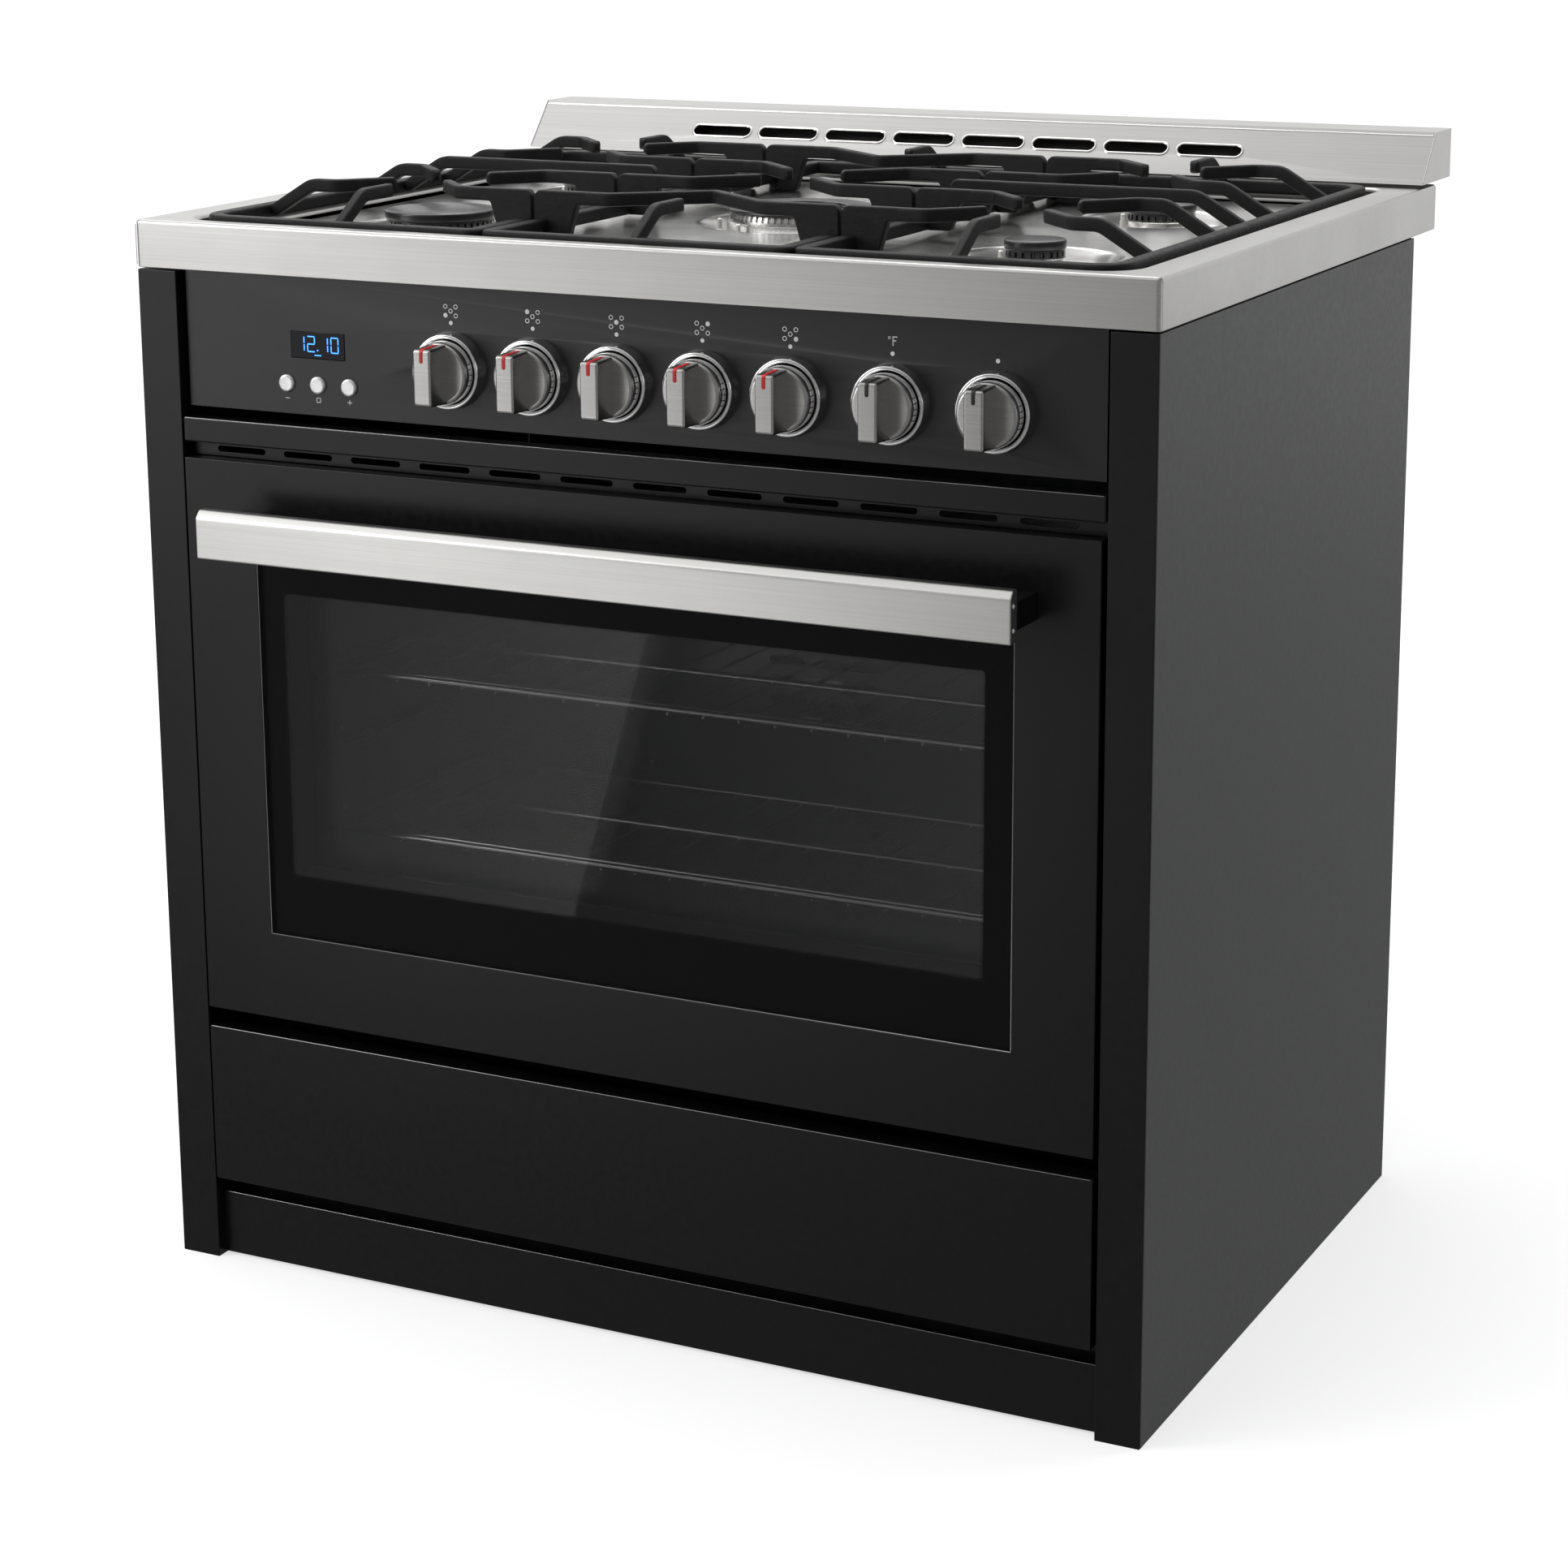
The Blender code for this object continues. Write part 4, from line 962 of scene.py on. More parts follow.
@dataclass
class WokBurner:
    """Double-ring burner in the middle: slotted crown, ring cap and inner cap.

    Profile heights are measured from the crown's top, the studs' from the dish.
    """

    slots: int = 64
    stand: float = 0.0280
    crown: Profile = ((0.0525, -0.0280), (0.0520, -0.0250), (0.0500, -0.0240), (0.0495, -0.0172),
                      (0.0640, -0.0166), (0.0642, -0.0160), (0.0636, -0.0082), (0.0624, -0.0076),
                      (0.0624, -0.0070), (0.0620, -0.0046), (0.0619, -0.0043), (0.0607, -0.0002),
                      (0.0600, 0), (0.0440, 0), (0.0430, -0.001), (0.0405, -0.0075),
                      (0.0225, -0.0075), (0.0190, -0.001), (0.0182, 0), (0.004, 0))
    stud: Profile = ((0.0032, 0), (0.0032, 0.012), (0.0020, 0.013), (0.0020, 0.021), (0.0010, 0.0218))
    stud_angles: tuple[float, float] = (3.6, 4.3)
    stud_reach: float = 0.0700

    def build(self) -> None:
        """Crown with slots at its top edge, caps and two studs."""
        ring_node = "burner_cap_wok_ring"
        low_corner, high_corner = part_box(ring_node)
        outer, high = (high_corner.x - low_corner.x) / 2, high_corner.z
        centre, crown_top = foot_of(ring_node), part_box("burner_head_wok")[1].z

        def notch(angle: np.ndarray, rad: np.ndarray, height: np.ndarray) -> np.ndarray:
            """Radius falls by 2.4 mm in each flame slot of the crown's upper edge."""
            upper_edge = (height > crown_top - 0.0044) & (rad > outer * 0.8)
            return rad - 0.0024 * ((np.cos(self.slots * angle) > 0.55) & upper_edge)

        crown = turned(lifted(self.crown, 0, crown_top), centre, sides=self.slots * 8, radial=notch)
        make("wok_crown", [crown], "burner", stands_for=["burner_head_wok"], sharp=0.5)
        low = crown_top + 0.0003
        ring = [(0.0620, low), (outer - 0.0002, low + 0.0010), (outer, low + 0.0018),
                (outer - 0.0008, high - 0.0004), (outer - 0.0022, high), (0.0412, high),
                (0.0400, high - 0.0006), (0.0397, high - 0.0016), (0.0400, low)]
        make("wok_ring_cap", [turned(ring, centre, sides=128, closed=True)], "cap", stands_for=[ring_node],
             sharp=0.9)
        lid = lifted(((0.0170, 0), (0.0182, 0.0010), (0.0183, 0.0018)), 0, low)
        lid += lifted(((0.0176, -0.0003), (0.0160, 0.0001), (0.006, 0.0002)), 0, high)
        make("wok_inner_cap", [turned(lid, centre)], "cap", stands_for=["burner_cap_wok_inner"], sharp=0.9)
        stud = lifted(self.stud, 0, crown_top - self.stand)
        studs = [turned(stud, centre + self.stud_reach * np.array([np.cos(a), np.sin(a), 0]), sides=20)
                 for a in self.stud_angles]
        make("wok_igniter_and_sensor", studs, "ceramic")


# ------------------------------------------------------------------------------ backguard
@dataclass
class VentHood:
    """Low hood along the back: folded shell with slots, each with a rolled rim."""

    slots: int = 8
    pitch: float = 0.0709
    length: float = 0.0625
    height: float = 0.0131
    slope: float = 0.037
    slot_z: float = 0.9382

    def build(self) -> None:
        """Fold the shell, add rims on its slope, a hem below the top edge and end seams."""
        fold("backguard", "stainless", 0.0010)
        fold("flue_duct", "bright", 0.0006)
        low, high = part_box("backguard")
        foot = np.array([0, low.y, low.z])
        ridge = np.array([0, low.y + self.slope, high.z])
        rise = np.linalg.norm(ridge - foot)
        along = (ridge - foot) / rise
        right = np.array([1, 0, 0])
        normal = np.cross(right, along)
        proud = normal * SINK
        middle = foot + along * rise * (self.slot_z - low.z) / (high.z - low.z) + proud
        rims = []
        for k in range(self.slots):
            x = self.pitch * (k - (self.slots - 1) / 2)
            flat = rounded_rect(x - self.length / 2, x + self.length / 2, -self.height / 2, self.height / 2,
                                self.height / 2 - 1e-4, 8)
            path = middle + flat[:, :1] * right + flat[:, 1:] * along
            rims.append(swept(path, superellipse(0.0022, 0.0014, 2.0, 10), closed=True, up=normal))
        make("slot_rims", rims, "bright")
        line = [ridge - along * 0.004 + proud + right * x for x in (low.x + MARGIN, high.x - MARGIN)]
        make("hood_hem", [swept(np.array(line), superellipse(0.0012, 0.0006, 2.0, 8), up=normal)], "bright")
        seams = []
        for x in (low.x + 0.0002, high.x - 0.0002):
            path = np.array([foot + along * 0.002, ridge - along * 0.001]) + right * x + proud
            seams.append(swept(path, circle(0.0012), up=normal))
        make("hood_end_seams", seams, "bright")


# ------------------------------------------------------------------------------ controls
@dataclass
class PrintedFace:
    """Marks printed on a vertical face at y = `face`, each standing `proud` of it."""

    face: float
    proud: float = 0.00018

    def plate(self, x: float, z: float, width: float, height: float) -> Shell:
        """A rounded rectangle round the point (x, z)."""
        radius = min(0.0002, width * 0.49, height * 0.49)
        flat = rounded_rect(x - width / 2, x + width / 2, z - height / 2, z + height / 2, radius, 4)
        return pillow(flat, "y", self.face - self.proud, self.face + SINK, 0.00004, 1)

    def spot(self, x: float, z: float, radius: float, hole: float = 0.0) -> Shell:
        """A dot, or a ring when `hole` is given."""
        wall, top = [(radius, -SINK), (radius, 0.00018)], [(hole, 0.00018), (hole, -SINK)]
        if hole:
            return turned(wall + top, (x, self.face, z), "y", 24, closed=True)
        return turned(wall, (x, self.face, z), "y", 28)


@dataclass
class ControlFascia:
    """Panel with bezels, printed marks, clock window with digits, and clock buttons."""

    bezel_r: float = 0.0316
    bezel_hole: float = 0.02645
    bezel: Profile = ((0, -0.0002), (0, 0.0012), (-0.0003, 0.0040), (-0.0012, 0.0102), (-0.0017, 0.0111),
                      (-0.0027, 0.0115), (-0.0038, 0.0112), (-0.0048, 0.0102))
    face_in: float = 0.0105
    dot_z: float = 0.8441
    icon_z: float = 0.8537
    icon_order: tuple[int, ...] = (3, 0, 2, 1, 4)
    letter: tuple[tuple[float, ...], ...] = ((0.0004, 0, 0.0008, 0.0072), (0.0021, 0.0032, 0.0036, 0.0008),
                                             (0.0017, 0.0003, 0.0028, 0.0008))
    digit_h: float = 0.0124
    digit_w: float = 0.0068
    button_r: float = 0.0073
    button: Profile = ((0, 0), (0, 0.0112), (-0.0003, 0.0120), (-0.0010, 0.0126), (-0.0022, 0.0127),
                       (-0.0040, 0.0124))

    def __post_init__(self) -> None:
        """Read the panel's face and the knob places from the frame."""
        self.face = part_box("control_panel")[0].y + self.face_in
        self.knob_x = [centre_of(node)[0] for node in KNOBS]
        self.ink = PrintedFace(self.face)

    def icon(self, x: float, filled: int) -> list[Shell]:
        """Five small circles, one of them filled, that show which burner a knob serves."""
        places = [(-0.0048, 0.0036), (0.0048, 0.0036), (0, 0), (-0.0048, -0.0036), (0.0048, -0.0036)]
        return [self.ink.spot(x + u, self.icon_z + v, 0.0019, 0 if k == filled else 0.0013)
                for k, (u, v) in enumerate(places)]

    def bezels(self) -> None:
        """Chrome ring round each knob, standing 11.5 mm proud with a rounded lip."""
        loop = lifted(self.bezel, self.bezel_r, 0) + [(self.bezel_hole, 0.0090), (self.bezel_hole, -0.0002)]
        rings = [turned(loop, (x, self.face, KNOB_Z), "y", 72, closed=True) for x in self.knob_x]
        make("knob_bezels", rings, "chrome", sharp=0.9)

    def prints(self) -> None:
        """Dots above the knobs, burner icons, the degree mark and button symbols."""
        ink = self.ink
        marks = [ink.spot(x, self.dot_z, 0.0017) for x in self.knob_x]
        for x, filled in zip(self.knob_x, self.icon_order):
            marks += self.icon(x, filled)
        x, z = self.knob_x[KNOBS.index("knob_thermostat")], self.icon_z
        marks.append(ink.spot(x - 0.0026, z + 0.0024, 0.0011, 0.0007))
        for dx, dz, width, height in self.letter:
            marks.append(ink.plate(x + dx, z + dz, width, height))
        minus, menu, plus = (centre_of("clock_button_%d" % k)[0] for k in (1, 2, 3))
        z = centre_of("clock_button_1")[2] - 0.0125
        wide, thin, bar = 0.0042, 0.0007, 0.0006
        marks.append(ink.plate(minus, z, wide, thin))
        for s in (-1, 1):
            marks += [ink.plate(menu, z + s * 0.0018, wide, bar), ink.plate(menu + s * 0.0018, z, bar, wide)]
        marks += [ink.plate(plus, z, wide, thin), ink.plate(plus, z, thin, wide)]
        make("panel_prints", marks, "white")

    def digits(self) -> None:
        """Seven-segment figures and a small bar under them, lit blue."""
        low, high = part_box("clock_display")
        ink, w, h, t = PrintedFace(low.y, 0.00012), self.digit_w, self.digit_h, 0.0010
        cx, cz = (low.x + high.x) / 2, (low.z + high.z) / 2 + 0.0012
        upright = h / 2 - t
        bars = {"a": (0, h / 2, w, t), "g": (0, 0, w, t), "d": (0, -h / 2, w, t),
                "b": (w / 2, h / 4, t, upright), "c": (w / 2, -h / 4, t, upright),
                "e": (-w / 2, -h / 4, t, upright), "f": (-w / 2, h / 4, t, upright)}
        lit: list[Shell] = []
        for place, segments in zip((-1.62, -0.62, 0.62, 1.62), ("bc", "abged", "bc", "abcdef")):
            for u, v, width, height in (bars[name] for name in segments):
                lit.append(ink.plate(cx + place * w * 1.5 + u, cz + v, width, height))
        lit += [ink.spot(cx, cz - h * 0.40, 0.0007), ink.plate(cx, low.z + 0.0030, 0.0065, 0.0009)]
        make("clock_figures", lit, "digit")

    def buttons(self) -> None:
        """Round clock buttons with a soft edge and a shallow dish."""
        profile = lifted(self.button, self.button_r, 0)
        for node in ("clock_button_%d" % k for k in (1, 2, 3)):
            x, _, z = centre_of(node)
            cap = turned(profile, (x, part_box(node)[1].y, z), "y", 48)
            make(node + "_cap", [cap], "button", node, [node], sharp=1.0)

    def build(self) -> None:
        """Panel sheet, trim and grille, then bezels, marks, clock and buttons."""
        fold("control_panel", "panel", 0.0009)
        fold("trim_rail", "body", 0.0016)
        # Painted highlight along the trim rail's top edge.
        top_painted_highlight("trim_rail_painted_highlight", "trim_rail", 0.0005)
        dress("vent_grille", "body")
        fold("clock_display", "window", 0.0005)
        self.bezels()
        self.prints()
        self.digits()
        self.buttons()


@dataclass
class Knob:
    """Turned skirt and face with a bar grip, and a mark that runs over the bar's end.

    `reach` is how far the grip stands out from the knob's base plane.
    """

    node: str
    mark: str
    width: float = 0.0160
    reach: float = 0.0460
    skirt: Profile = ((0.0055, -0.0140), (0.0055, 0.0012), (0.0258, 0.0012), (0.0262, 0.0018),
                      (0.0257, 0.0182), (0.0252, 0.0196))
    cap: Profile = ((0.0250, 0.0194), (0.0251, 0.0200), (0.0247, 0.0210), (0.0238, 0.0217),
                    (0.0222, 0.0220), (0.0100, 0.0221))
    ticks: int = 5
    tick_r: float = 0.0259

    def grip(self, x: float, base: float) -> Shell:
        """Bar with soft edges, slightly narrower at its outer end."""
        front = base - self.reach
        corners = [(base - 0.0190, -0.0240), (base - 0.0190, 0.0238), (front, 0.0226), (front, -0.0229)]
        outline = smooth_path(oriented([(y, KNOB_Z + dz) for y, dz in corners]),
                              (0.001, 0.001, 0.0030, 0.0030), 5, closed=True)
        return pillow(outline, "x", x - self.width / 2, x + self.width / 2, 0.0019, 5)

    def build(self) -> None:
        """Skirt, face and grip, mark, and ticks at the skirt's right side."""
        x, base = centre_of(self.node)[0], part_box(self.node)[0].y + self.reach
        hub, front, tip = (x, base, KNOB_Z), base - self.reach, KNOB_Z + 0.02265
        node = self.node
        make(node + "_skirt", [turned(self.skirt, hub, "y", 96)], "chrome", node, [node], sharp=0.9)
        make(node + "_grip", [turned(self.cap, hub, "y", 96), self.grip(x, base)], "knob", node, sharp=1.0)
        path = smooth_path([(x, base - 0.0240, KNOB_Z + 0.0237), (x, front, tip), (x, front, tip - 0.0098)],
                           0.0028, 5)
        strip = swept(path, superellipse(0.0033, 0.0008, 3.0, 12), up=(0, -1, 1), round_ends=True)
        make(node + "_mark", [strip], self.mark, node)
        ticks = []
        for a in -0.35 + 0.17 * np.arange(self.ticks):
            outward = np.array([np.cos(a), 0, np.sin(a)])
            path = np.array(hub) + self.tick_r * outward - np.outer([0.0128, 0.0172], [0, 1, 0])
            ticks.append(swept(path, superellipse(0.0007, 0.0008, 3, 8), up=outward))
        make(node + "_ticks", ticks, "ink", node)


# ------------------------------------------------------------------------------- carcass
def screw(centre: Sequence[float], axis: str, sign: int, radius: float = 0.0042) -> Shell:
    """Pan-head screw: a dome about half a radius high with a round drive recess.

    Args:
        centre: middle of its seat.
        axis: "x" or "y", the direction it points in.
        sign: 1 to point along that axis, -1 against it.
        radius: the head's radius.

    Returns:
        The closed shell.
    """
    dome = np.linspace(0, pi / 2 * 0.8, 5)
    profile = [(radius, -0.0004)] + [(radius * np.cos(t), radius * 0.5 * np.sin(t)) for t in dome]
    profile += [(radius * 0.30, radius * 0.47), (radius * 0.26, radius * 0.20)]
    shell = turned(profile, (0, 0, 0), "y", 20)
    x, y, z = shell.points.T
    points = np.stack([x, y, z] if axis == "y" else [y, -x, z], axis=1)
    if sign > 0:
        points = points * np.array([-1, -1, 1])
    return Shell(points + np.asarray(centre, float), shell.quads, shell.polygons)


@dataclass
class Carcass:
    """Side panels, posts, base, back with its ribs and screws, kick panel and feet."""

    back_y: float = 0.292
    rib_heights: tuple[float, ...] = (0.20, 0.29, 0.38, 0.47, 0.56)
    inlet_x: float = 0.330
    inlet_z: float = 0.120
    pad: Profile = ((0.0165, 0), (0.0180, 0.0010), (0.0180, 0.0045), (0.0170, 0.0058), (0.0125, 0.0070),
                    (0.004, 0.0072))
    collar: Profile = ((0.0120, 0.0068), (0.0120, 0.0098), (0.0108, 0.0108), (0.0055, 0.0110))

    def fittings(self) -> None:
        """Nuts on the gas inlet and the cord gland, and the inlet's thread."""
        face, angle = self.back_y, 2 * pi * np.arange(6) / 6
        parts = []
        for x, radius in ((self.inlet_x, 0.0150), (-self.inlet_x, 0.0135)):
            hexagon = np.stack([x + radius * np.cos(angle), self.inlet_z + radius * np.sin(angle)], 1)
            parts.append(pillow(hexagon, "y", face + 0.0002, face + 0.0082, 0.0010, 2))
        thread = [(0.01075 + 0.0004 * (k % 2), 0.0105 + 0.0009 * k) for k in range(20)]
        shell = turned(thread, (self.inlet_x, face, self.inlet_z), "y", 32)
        shell.points[:, 1] = 2 * face - shell.points[:, 1]
        parts.append(shell.flipped())
        make("inlet_and_gland_nuts", parts, "bright", sharp=0.5)

    def back(self) -> None:
        """Back panel with pressed ribs and rows of screws."""
        fold("back_panel", "zinc", 0.0004)
        spots = [(x, z) for x in (-0.435, 0.435) for z in np.linspace(0.07, 0.84, 7)]
        spots += [(x, z) for x in np.linspace(-0.29, 0.29, 4) for z in (0.045, 0.600)]
        make("back_screws", [screw((x, self.back_y, z), "y", 1) for x, z in spots], "bright")
        ribs = []
        for z in self.rib_heights:
            flat = rounded_rect(-0.34, 0.34, z - 0.012, z + 0.012, 0.0115, 8)
            ribs.append(pillow(flat, "y", self.back_y - 0.0005, self.back_y + 0.0042, 0.0030))
        make("back_ribs", ribs, "zinc")

    def feet(self) -> None:
        """Levelling feet: rubber pad, steel collar and threaded stem."""
        stem = list(self.collar) + [(0.0052 - 0.0005 * (k % 2), 0.0115 + 0.0009 * k) for k in range(38)]
        for node in ("foot_%s_%s" % (end, side) for end in ("front", "rear") for side in ("left", "right")):
            make(node + "_pad", [turned(self.pad, foot_of(node), sides=48)], "rubber", stands_for=[node])
            make(node + "_stem", [turned(stem, foot_of(node), sides=32)], "zinc", sharp=0.5)

    def build(self) -> None:
        """Fold every sheet of the carcass and add its fittings."""
        for side in ("left", "right"):
            fold("side_panel_" + side, "side", 0.0006)
            fold("corner_post_" + side, "body", 0.0007)
        # Base pan in satin black: painted shade, so the gap between the drawer and the kick panel shows dark.
        fold("base_pan", "body", 0.0006)
        fold("cross_rail", "body", 0.0005)
        fold("kick_panel", "body", 0.0007)
        # Painted highlight along the kick panel's top edge.
        top_painted_highlight("kick_panel_painted_highlight", "kick_panel", 0.0002)
        self.back()
        self.fittings()
        self.feet()


# ---------------------------------------------------------------------------------- oven
@dataclass
class Rack:
    """Round-wire oven rack: thick front and rear rails over a row of finer wires."""

    node: str
    wires: int = 21
    rail: float = 0.0029
    wire: float = 0.0017
    edge: float = 0.013

    def build(self) -> None:
        """Sweep the outer frame, the cross rails and the wires."""
        low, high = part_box(self.node)
        r, z = self.rail, (low.z + high.z) / 2 + 0.0004
        thick, fine = circle(2 * r, 12), circle(2 * self.wire)
        corners = [(low.x + r, low.y + r, z), (high.x - r, low.y + r, z), (high.x - r, high.y - r, z),
                   (low.x + r, high.y - r, z)]
        parts = [swept(smooth_path(corners, 0.014, 6, closed=True), thick, closed=True)]
        for y in (low.y + 0.012, (low.y + high.y) / 2):
            parts.append(swept(np.array([(low.x + r, y, z), (high.x - r, y, z)]), thick))
        lower = z - r - self.wire * 0.7
        for x in np.linspace(low.x + self.edge, high.x - self.edge, self.wires):
            path = smooth_path([(x, low.y + 0.0004, lower + 0.0008), (x, low.y + 0.012, lower),
                                (x, high.y - 0.012, lower), (x, high.y - 0.001, lower + 0.0006)], 0.006, 3)
            parts.append(swept(path, fine, round_ends=True))
        make(self.node + "_wires", parts, "rack", self.node, [self.node], sharp=1.2)


@dataclass
class Oven:
    """Enamelled cavity, rack studs, racks, fan and fan cover, oven lamp."""

    levels: tuple[float, ...] = (0.3825, 0.4545, 0.5245)
    wall_x: float = 0.3448
    stud_y: float = -0.215
    lamp_x: float = 0.265
    lamp_z: float = 0.612
    lens: Profile = ((0.0270, -0.0010), (0.0270, 0.0016), (0.0250, 0.0030), (0.0225, 0.0034),
                     (0.0215, 0.0060), (0.0170, 0.0092), (0.0090, 0.0110))

    def build(self) -> None:
        """Fold the cavity, the cover and the fan, then add studs, screws, a lamp and the racks."""
        fold("oven_cavity", "enamel", 0.0012)
        fold("fan_cover", "enamel", 0.0009)
        fold("convection_fan", "zinc", 0.0003, "convection_fan")
        studs = [screw((sign * self.wall_x, self.stud_y, level + dz), "x", -sign, 0.0034)
                 for sign in (-1, 1) for level in self.levels for dz in (0.0070, -0.0066)]
        make("rack_guide_studs", studs, "rack")
        low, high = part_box("fan_cover")
        heads = [screw((x, low.y + SINK, z), "y", -1, 0.0036) for x in (low.x + 0.012, high.x - 0.012)
                 for z in (low.z + 0.012, high.z - 0.012)]
        make("fan_cover_screws", heads, "rack")
        lamp = (self.lamp_x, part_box("oven_cavity")[1].y - 0.0016, self.lamp_z)
        make("oven_lamp_lens", [turned(self.lens, lamp, "y", 40)], "ceramic")
        for node in ("rack_lower", "rack_upper"):
            Rack(node).build()


# ---------------------------------------------------------------------------------- door
@dataclass
class OvenDoor:
    """Drop-down door: skin, liner, two glasses with a black frit border, bar handle, gasket."""

    def handle(self) -> None:
        """Brushed bar with a chamfered top edge, end pins and its two posts."""
        low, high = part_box("door_handle")
        y0, y1, z0, z1 = low.y, high.y, low.z, high.z
        outline = smooth_path(oriented([(y0, z0), (y1, z0), (y1, z1), (y0 + 0.0052, z1), (y0, z1 - 0.0060)]),
                              (0.0016, 0.0014, 0.0014, 0.0022, 0.0022), 4, closed=True)
        make("handle_bar", [pillow(outline, "x", low.x, high.x, 0.0009, 3)], "handle", Body.DOOR,
             ["door_handle"], sharp=0.9)
        ends = [screw((sign * high.x, (y0 + y1) / 2, z), "x", sign, 0.0022) for sign in (-1, 1)
                for z in (z0 + 0.010, z1 - 0.012)]
        make("handle_end_pins", ends, "bright", Body.DOOR)
        for side in ("left", "right"):
            fold("handle_post_" + side, "body", 0.0014, Body.DOOR)

    def gasket(self) -> None:
        """Woven rope round the mouth: a rounded section swept along a densely divided loop."""
        low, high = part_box("door_seal")
        inset, y = 0.006, (low.y + high.y) / 2
        x, z0, z1 = high.x - inset, low.z + inset, high.z - inset
        path = smooth_path([(-x, y, z0), (x, y, z0), (x, y, z1), (-x, y, z1)], 0.018, 10, closed=True)
        steps = [np.linspace(a, b, 24, endpoint=False) for a, b in zip(path, np.roll(path, -1, axis=0))
                 if np.linalg.norm(b - a) > 1e-5]
        rope = swept(np.concatenate(steps), superellipse(0.0110, 0.0072, 2.4, 16), closed=True, up=(0, 1, 0))
        make("woven_gasket", [rope], "gasket", stands_for=["door_seal"], sharp=2.0)

    def frit(self) -> None:
        """Black border behind the outer glass, with a hole for the window."""
        low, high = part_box("door_glass_outer")
        inner_low, inner_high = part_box("door_glass_inner")
        edge, near = 0.001, high.y + 0.0002
        far = near + 0.00015
        outer = rounded_rect(low.x + edge, high.x - edge, low.z + edge, high.z - edge, 0.003, 4)
        hole = rounded_rect(inner_low.x, inner_high.x, inner_low.z, inner_high.z, 0.003, 4)
        rings = [np.column_stack([flat[:, 0], np.full(len(flat), y), flat[:, 1]])
                 for flat, y in ((outer, near), (hole, near), (hole, far), (outer, far))]
        make("glass_frit", [lofted(np.array(rings)[::-1], closed=True)], "frit", Body.DOOR)

    def build(self) -> None:
        """Fold the sheets and glasses, add frit, a painted highlight along the glass's edge, handle, gasket
        and screws.
        """
        fold("door_skin", "body", 0.0014, Body.DOOR)
        fold("door_liner", "body", 0.0009, Body.DOOR)
        fold("door_glass_outer", "glass", 0.0007, Body.DOOR)
        fold("door_glass_inner", "glass", 0.0004, Body.DOOR)
        self.frit()
        low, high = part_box("door_glass_outer")
        edge = [(low.x, high.z), (low.x, low.z), (high.x, low.z), (high.x, high.z)]
        # Painted highlight: light bead along the outer glass's left, bottom and right edges.
        hem("glass_edge_painted_highlight", [(x, low.y + 0.0004, z) for x, z in edge], Body.DOOR)
        self.handle()
        self.gasket()
        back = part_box("door_liner")[1].y
        heads = [screw((x, back, z), "y", 1, 0.0036) for x in (-0.395, 0.395)
                 for z in (0.262, 0.40, 0.55, 0.69)]
        make("liner_screws", heads, "bright", Body.DOOR)


@dataclass
class Drawer:
    """Storage drawer: folded front, zinc box and rails."""

    def build(self) -> None:
        """Fold the sheets and add the screws that hold the front."""
        fold("drawer_front", "body", 0.0014, Body.DRAWER)
        # Painted highlight along the drawer front's top edge.
        top_painted_highlight("drawer_top_painted_highlight", "drawer_front", 0.0004, Body.DRAWER)
        fold("drawer_box", "zinc", 0.0005, Body.DRAWER)
        for side in ("left", "right"):
            fold("drawer_rail_" + side, "zinc", 0.0004)
        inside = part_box("drawer_box")[0].y + 0.0020
        heads = [screw((x, inside, z), "y", 1, 0.0034) for x in np.linspace(-0.32, 0.32, 5)
                 for z in (0.11, 0.175)]
        make("drawer_front_screws", heads, "bright", Body.DRAWER)


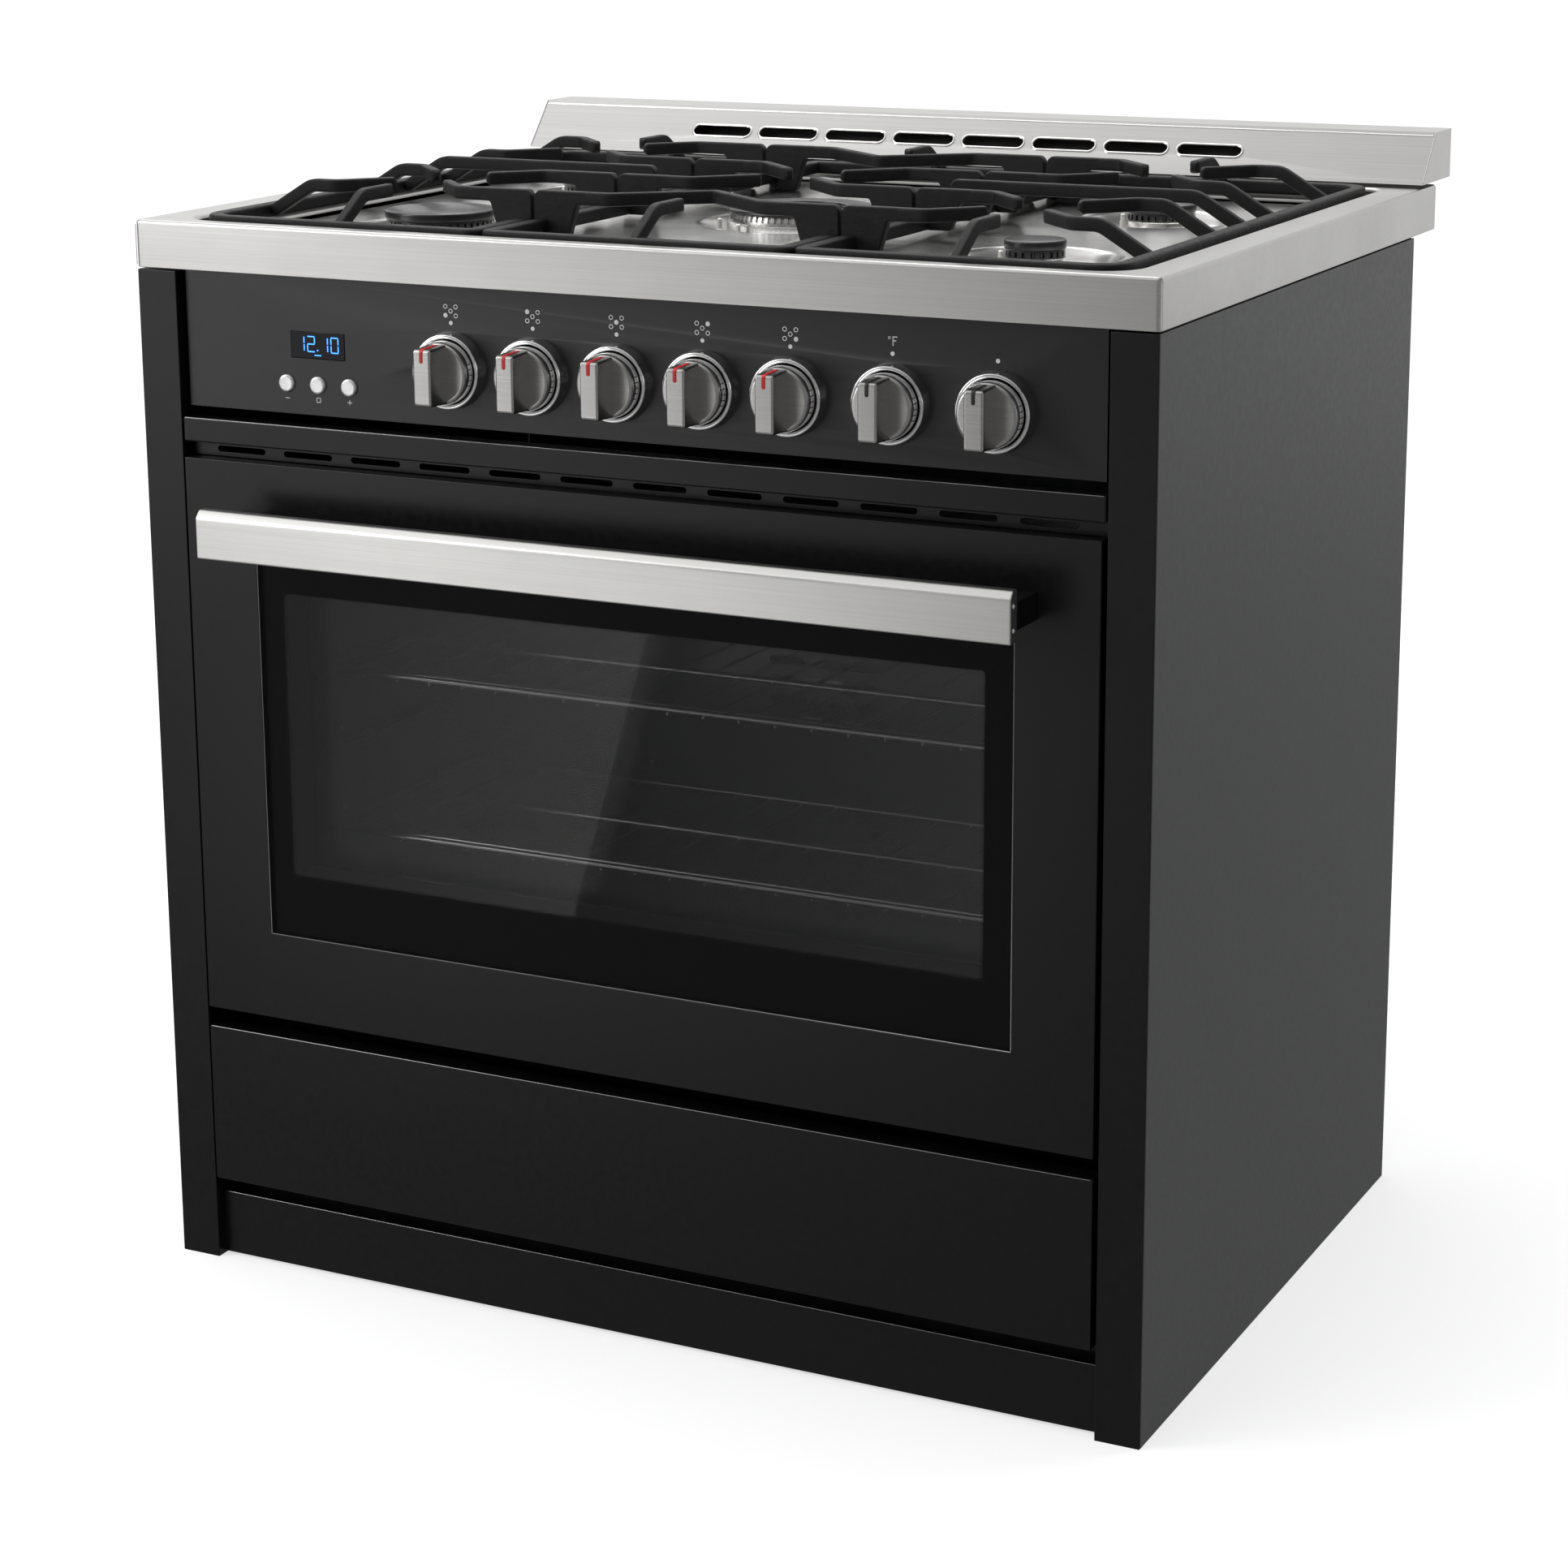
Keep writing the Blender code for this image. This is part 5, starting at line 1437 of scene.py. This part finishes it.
# --------------------------------------------------------------------------------- stage
@dataclass
class Studio:
    """Pale floor, soft lights and the camera."""

    azimuth: float = 26.64
    pitch: float = 13.17
    roll: float = -0.35
    place: Point = (1.3472, -2.7260, 1.2523)
    lens: float = 81.56
    shift_y: float = -0.10
    floor_size: float = 40.0
    floor_grey: float = 0.50
    floor_glow: tuple[float, float] = (0.62, 0.92)
    floor_fade: tuple[float, float] = (0.7, 2.6)
    ambient: float = 0.28
    mirror_distance: float = 2.0

    def glowing_quad(self, name: str, corners: Sequence[Point]) -> tuple[bpy.types.Object, Tree, Node]:
        """Flat quad with a black material that shines white.

        Args:
            name: name of the object and of its material.
            corners: its four corners.

        Returns:
            The object, its material's node tree and its shader.
        """
        mesh = bpy.data.meshes.new(name)
        mesh.from_pydata([tuple(corner) for corner in corners], [], [(0, 1, 2, 3)])
        mat = bpy.data.materials.new(name)
        mat.use_nodes = True
        bsdf = mat.node_tree.nodes["Principled BSDF"]
        bsdf.inputs["Base Color"].default_value = (*grey(0.0), 1)
        bsdf.inputs["Emission Color"].default_value = (*grey(1.0), 1)
        mesh.materials.append(mat)
        obj = bpy.data.objects.new(name, mesh)
        bpy.context.scene.collection.objects.link(obj)
        return obj, mat.node_tree, bsdf

    def floor(self) -> None:
        """Large plain floor that the camera sees brighten with the distance from the range."""
        reach = self.floor_size
        corners = [(x * reach, y * reach, 0.0) for x, y in ((-1, -1), (1, -1), (1, 1), (-1, 1))]
        obj, tree, bsdf = self.glowing_quad("studio_floor", corners)
        bsdf.inputs["Base Color"].default_value = (*grey(self.floor_grey), 1)
        bsdf.inputs["Roughness"].default_value = 0.9
        bsdf.inputs["Specular IOR Level"].default_value = 0.1
        far = add_node(tree, "VectorMath")
        far.operation = "LENGTH"
        tree.links.new(object_place(tree), far.inputs[0])
        seen = add_node(tree, "LightPath").outputs["Is Camera Ray"]
        brighten = ranged(tree, far.outputs["Value"], *self.floor_glow, *self.floor_fade)
        lift = add_node(tree, "MapRange", links={"Value": seen, "To Max": brighten})
        tree.links.new(lift.outputs["Result"], bsdf.inputs["Emission Strength"])
        obj.visible_glossy = False

    def card(self, name: str, corners: Sequence[Point], left: float, right: float) -> None:
        """White reflector card that only polished faces see.

        Args:
            name: the card's name.
            corners: its four corners.
            left: strength of its light at its least x.
            right: strength at its greatest x.
        """
        obj, tree, bsdf = self.glowing_quad(name, corners)
        across = add_node(tree, "SeparateXYZ", links={"Vector": object_place(tree)}).outputs["X"]
        xs = [corner[0] for corner in corners]
        fade = ranged(tree, across, left, right, min(xs), max(xs) + 0.001)
        tree.links.new(fade, bsdf.inputs["Emission Strength"])
        obj.visible_camera = obj.visible_diffuse = obj.visible_shadow = obj.visible_transmission = False

    def mirrored(self, x: float, z: float) -> Point:
        """Where a line from the camera's mirror image through a point of the door's glass ends.

        Args:
            x, z: the point on the glass.

        Returns:
            The point `mirror_distance` in front of the glass that the camera sees mirrored there.
        """
        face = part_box("door_glass_outer")[0].y
        image = np.array([self.place[0], 2 * face - self.place[1], self.place[2]])
        reach = (image[1] - face + self.mirror_distance) / (image[1] - face)
        point = image + (np.array([x, face, z]) - image) * reach
        return float(point[0]), float(point[1]), float(point[2])

    def mirror_card(self, name: str, corners: Profile, left: float, right: float) -> None:
        """Card whose corners the camera sees mirrored at the given (x, z) corners."""
        self.card(name, [self.mirrored(x, z) for x, z in corners], left, right)

    def area(self, name: str, place: Point, aim: Point, size: tuple[float, float], power: float,
             polish: bool = True) -> None:
        """Soft rectangular light.

        Args:
            name: the light's name.
            place: where it stands.
            aim: the point that it faces.
            size: its width and height.
            power: its power in watts.
            polish: show it in polished faces.
        """
        light = bpy.data.lights.new(name, "AREA")
        light.shape = "RECTANGLE"
        light.size, light.size_y = size
        light.energy = power
        obj = bpy.data.objects.new(name, light)
        x, y, z = np.asarray(place, float) - np.asarray(aim, float)
        obj.location = place
        obj.rotation_mode = "XYZ"
        obj.rotation_euler = (float(np.arctan2(np.hypot(x, y), z)), 0.0, float(np.arctan2(x, -y)))
        obj.visible_glossy = polish
        bpy.context.scene.collection.objects.link(obj)

    def surroundings(self) -> None:
        """White to the camera, dim grey to everything else."""
        world = bpy.data.worlds.new("studio_world")
        world.use_nodes = True
        tree = world.node_tree
        back = tree.nodes["Background"]
        back.inputs["Color"].default_value = (*grey(1.0), 1)
        seen = add_node(tree, "LightPath").outputs["Is Camera Ray"]
        level = add_node(tree, "MapRange", {"To Min": self.ambient, "To Max": 1.0}, {"Value": seen})
        tree.links.new(level.outputs["Result"], back.inputs["Strength"])
        bpy.context.scene.world = world
        bpy.context.scene.view_settings.view_transform = "Standard"

    def lights(self) -> None:
        """Broad light overhead, one at the left front, one at the right rear, and the reflector cards."""
        self.area("overhead", (-0.3, -0.2, 3.4), (0, 0, 0.6), (3.0, 2.6), 100, False)
        self.area("left_front", (-2.6, -2.4, 2.0), (0, 0, 0.6), (1.4, 2.2), 48)
        self.area("right_side", (2.9, 2.4, 0.9), (0.4, 0.2, 0.4), (1.2, 1.8), 62, False)
        low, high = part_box("door_glass_inner")
        split = ((-0.045, low.z), (0.028, high.z))
        self.mirror_card("front_card", ((-0.75, 0.64), (0.62, 0.64), (0.62, 1.02), (-0.75, 1.02)), 2.1, 0.12)
        self.mirror_card("glass_card", ((low.x, low.z), *split, (low.x, high.z)), 1.5, 3.0)
        right_half = (split[0], (high.x, low.z), (high.x, high.z), split[1])
        self.mirror_card("glass_card_right", right_half, 0.8, 1.7)
        self.card("sky_card", [(-3, -3, 3.2), (3, -3, 3.2), (3, 3, 3.2), (-3, 3, 3.2)], 1.5, 0.0)
        self.card("edge_card", [(-2.4, 0.7, 3.1), (0.2, 0.7, 3.1), (0.2, 1.7, 3.1), (-2.4, 1.7, 3.1)], 5, 3.5)
        self.card("back_card", [(-7, 4, 0), (4, 4, 0), (4, 4, 4), (-7, 4, 4)], 1.0, 0.8)
        self.card("right_card", [(3.6, -2, 0), (3.6, 3, 0), (3.6, 3, 2.5), (3.6, -2, 2.5)], 0.45, 0.45)

    def camera(self) -> None:
        """Camera at the set angle: yaw, pitch and roll about the view axis, with a small shift."""
        az, pitch, roll = (np.radians(v) for v in (self.azimuth, self.pitch, self.roll))
        ahead = np.array([-np.sin(az) * np.cos(pitch), np.cos(az) * np.cos(pitch), -np.sin(pitch)])
        level = np.array([np.cos(az), np.sin(az), 0.0])
        upward = np.cross(level, ahead)
        right = level * np.cos(roll) + upward * np.sin(roll)
        above = upward * np.cos(roll) - level * np.sin(roll)
        camera = bpy.data.cameras.new("camera")
        camera.lens, camera.sensor_width, camera.shift_y = self.lens, 36.0, self.shift_y
        camera.dof.use_dof = False
        camera.clip_end = 3 * self.floor_size
        obj = bpy.data.objects.new("camera", camera)
        rows = [(right[k], above[k], -ahead[k], self.place[k]) for k in range(3)]
        obj.matrix_world = Matrix(rows + [(0, 0, 0, 1)])
        bpy.context.scene.collection.objects.link(obj)
        bpy.context.scene.camera = obj

    def build(self) -> None:
        """Floor, surroundings, lights and camera."""
        self.floor()
        self.surroundings()
        self.lights()
        self.camera()


def main() -> None:
    """Build every sub-assembly in order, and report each."""
    logging.basicConfig(level=logging.INFO, format="%(message)s")
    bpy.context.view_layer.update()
    grates = [OuterGrate("grate_left", side=-1), OuterGrate("grate_right"), CentreGrate("grate_center")]
    burners = [RingBurner("front_left", 44, 0.0195), RingBurner("rear_left", 32),
               RingBurner("front_right", 20), RingBurner("rear_right", 28), WokBurner()]
    knobs = [Knob(node, "red" if "burner" in node else "ink") for node in KNOBS]
    for part in [Cooktop(), *grates, *burners, VentHood(), ControlFascia(), *knobs, Carcass(), Oven(),
                 OvenDoor(), Drawer(), Studio()]:
        part.build()
        LOG.info("built %s", type(part).__name__)


if __name__ == "__main__":
    main()
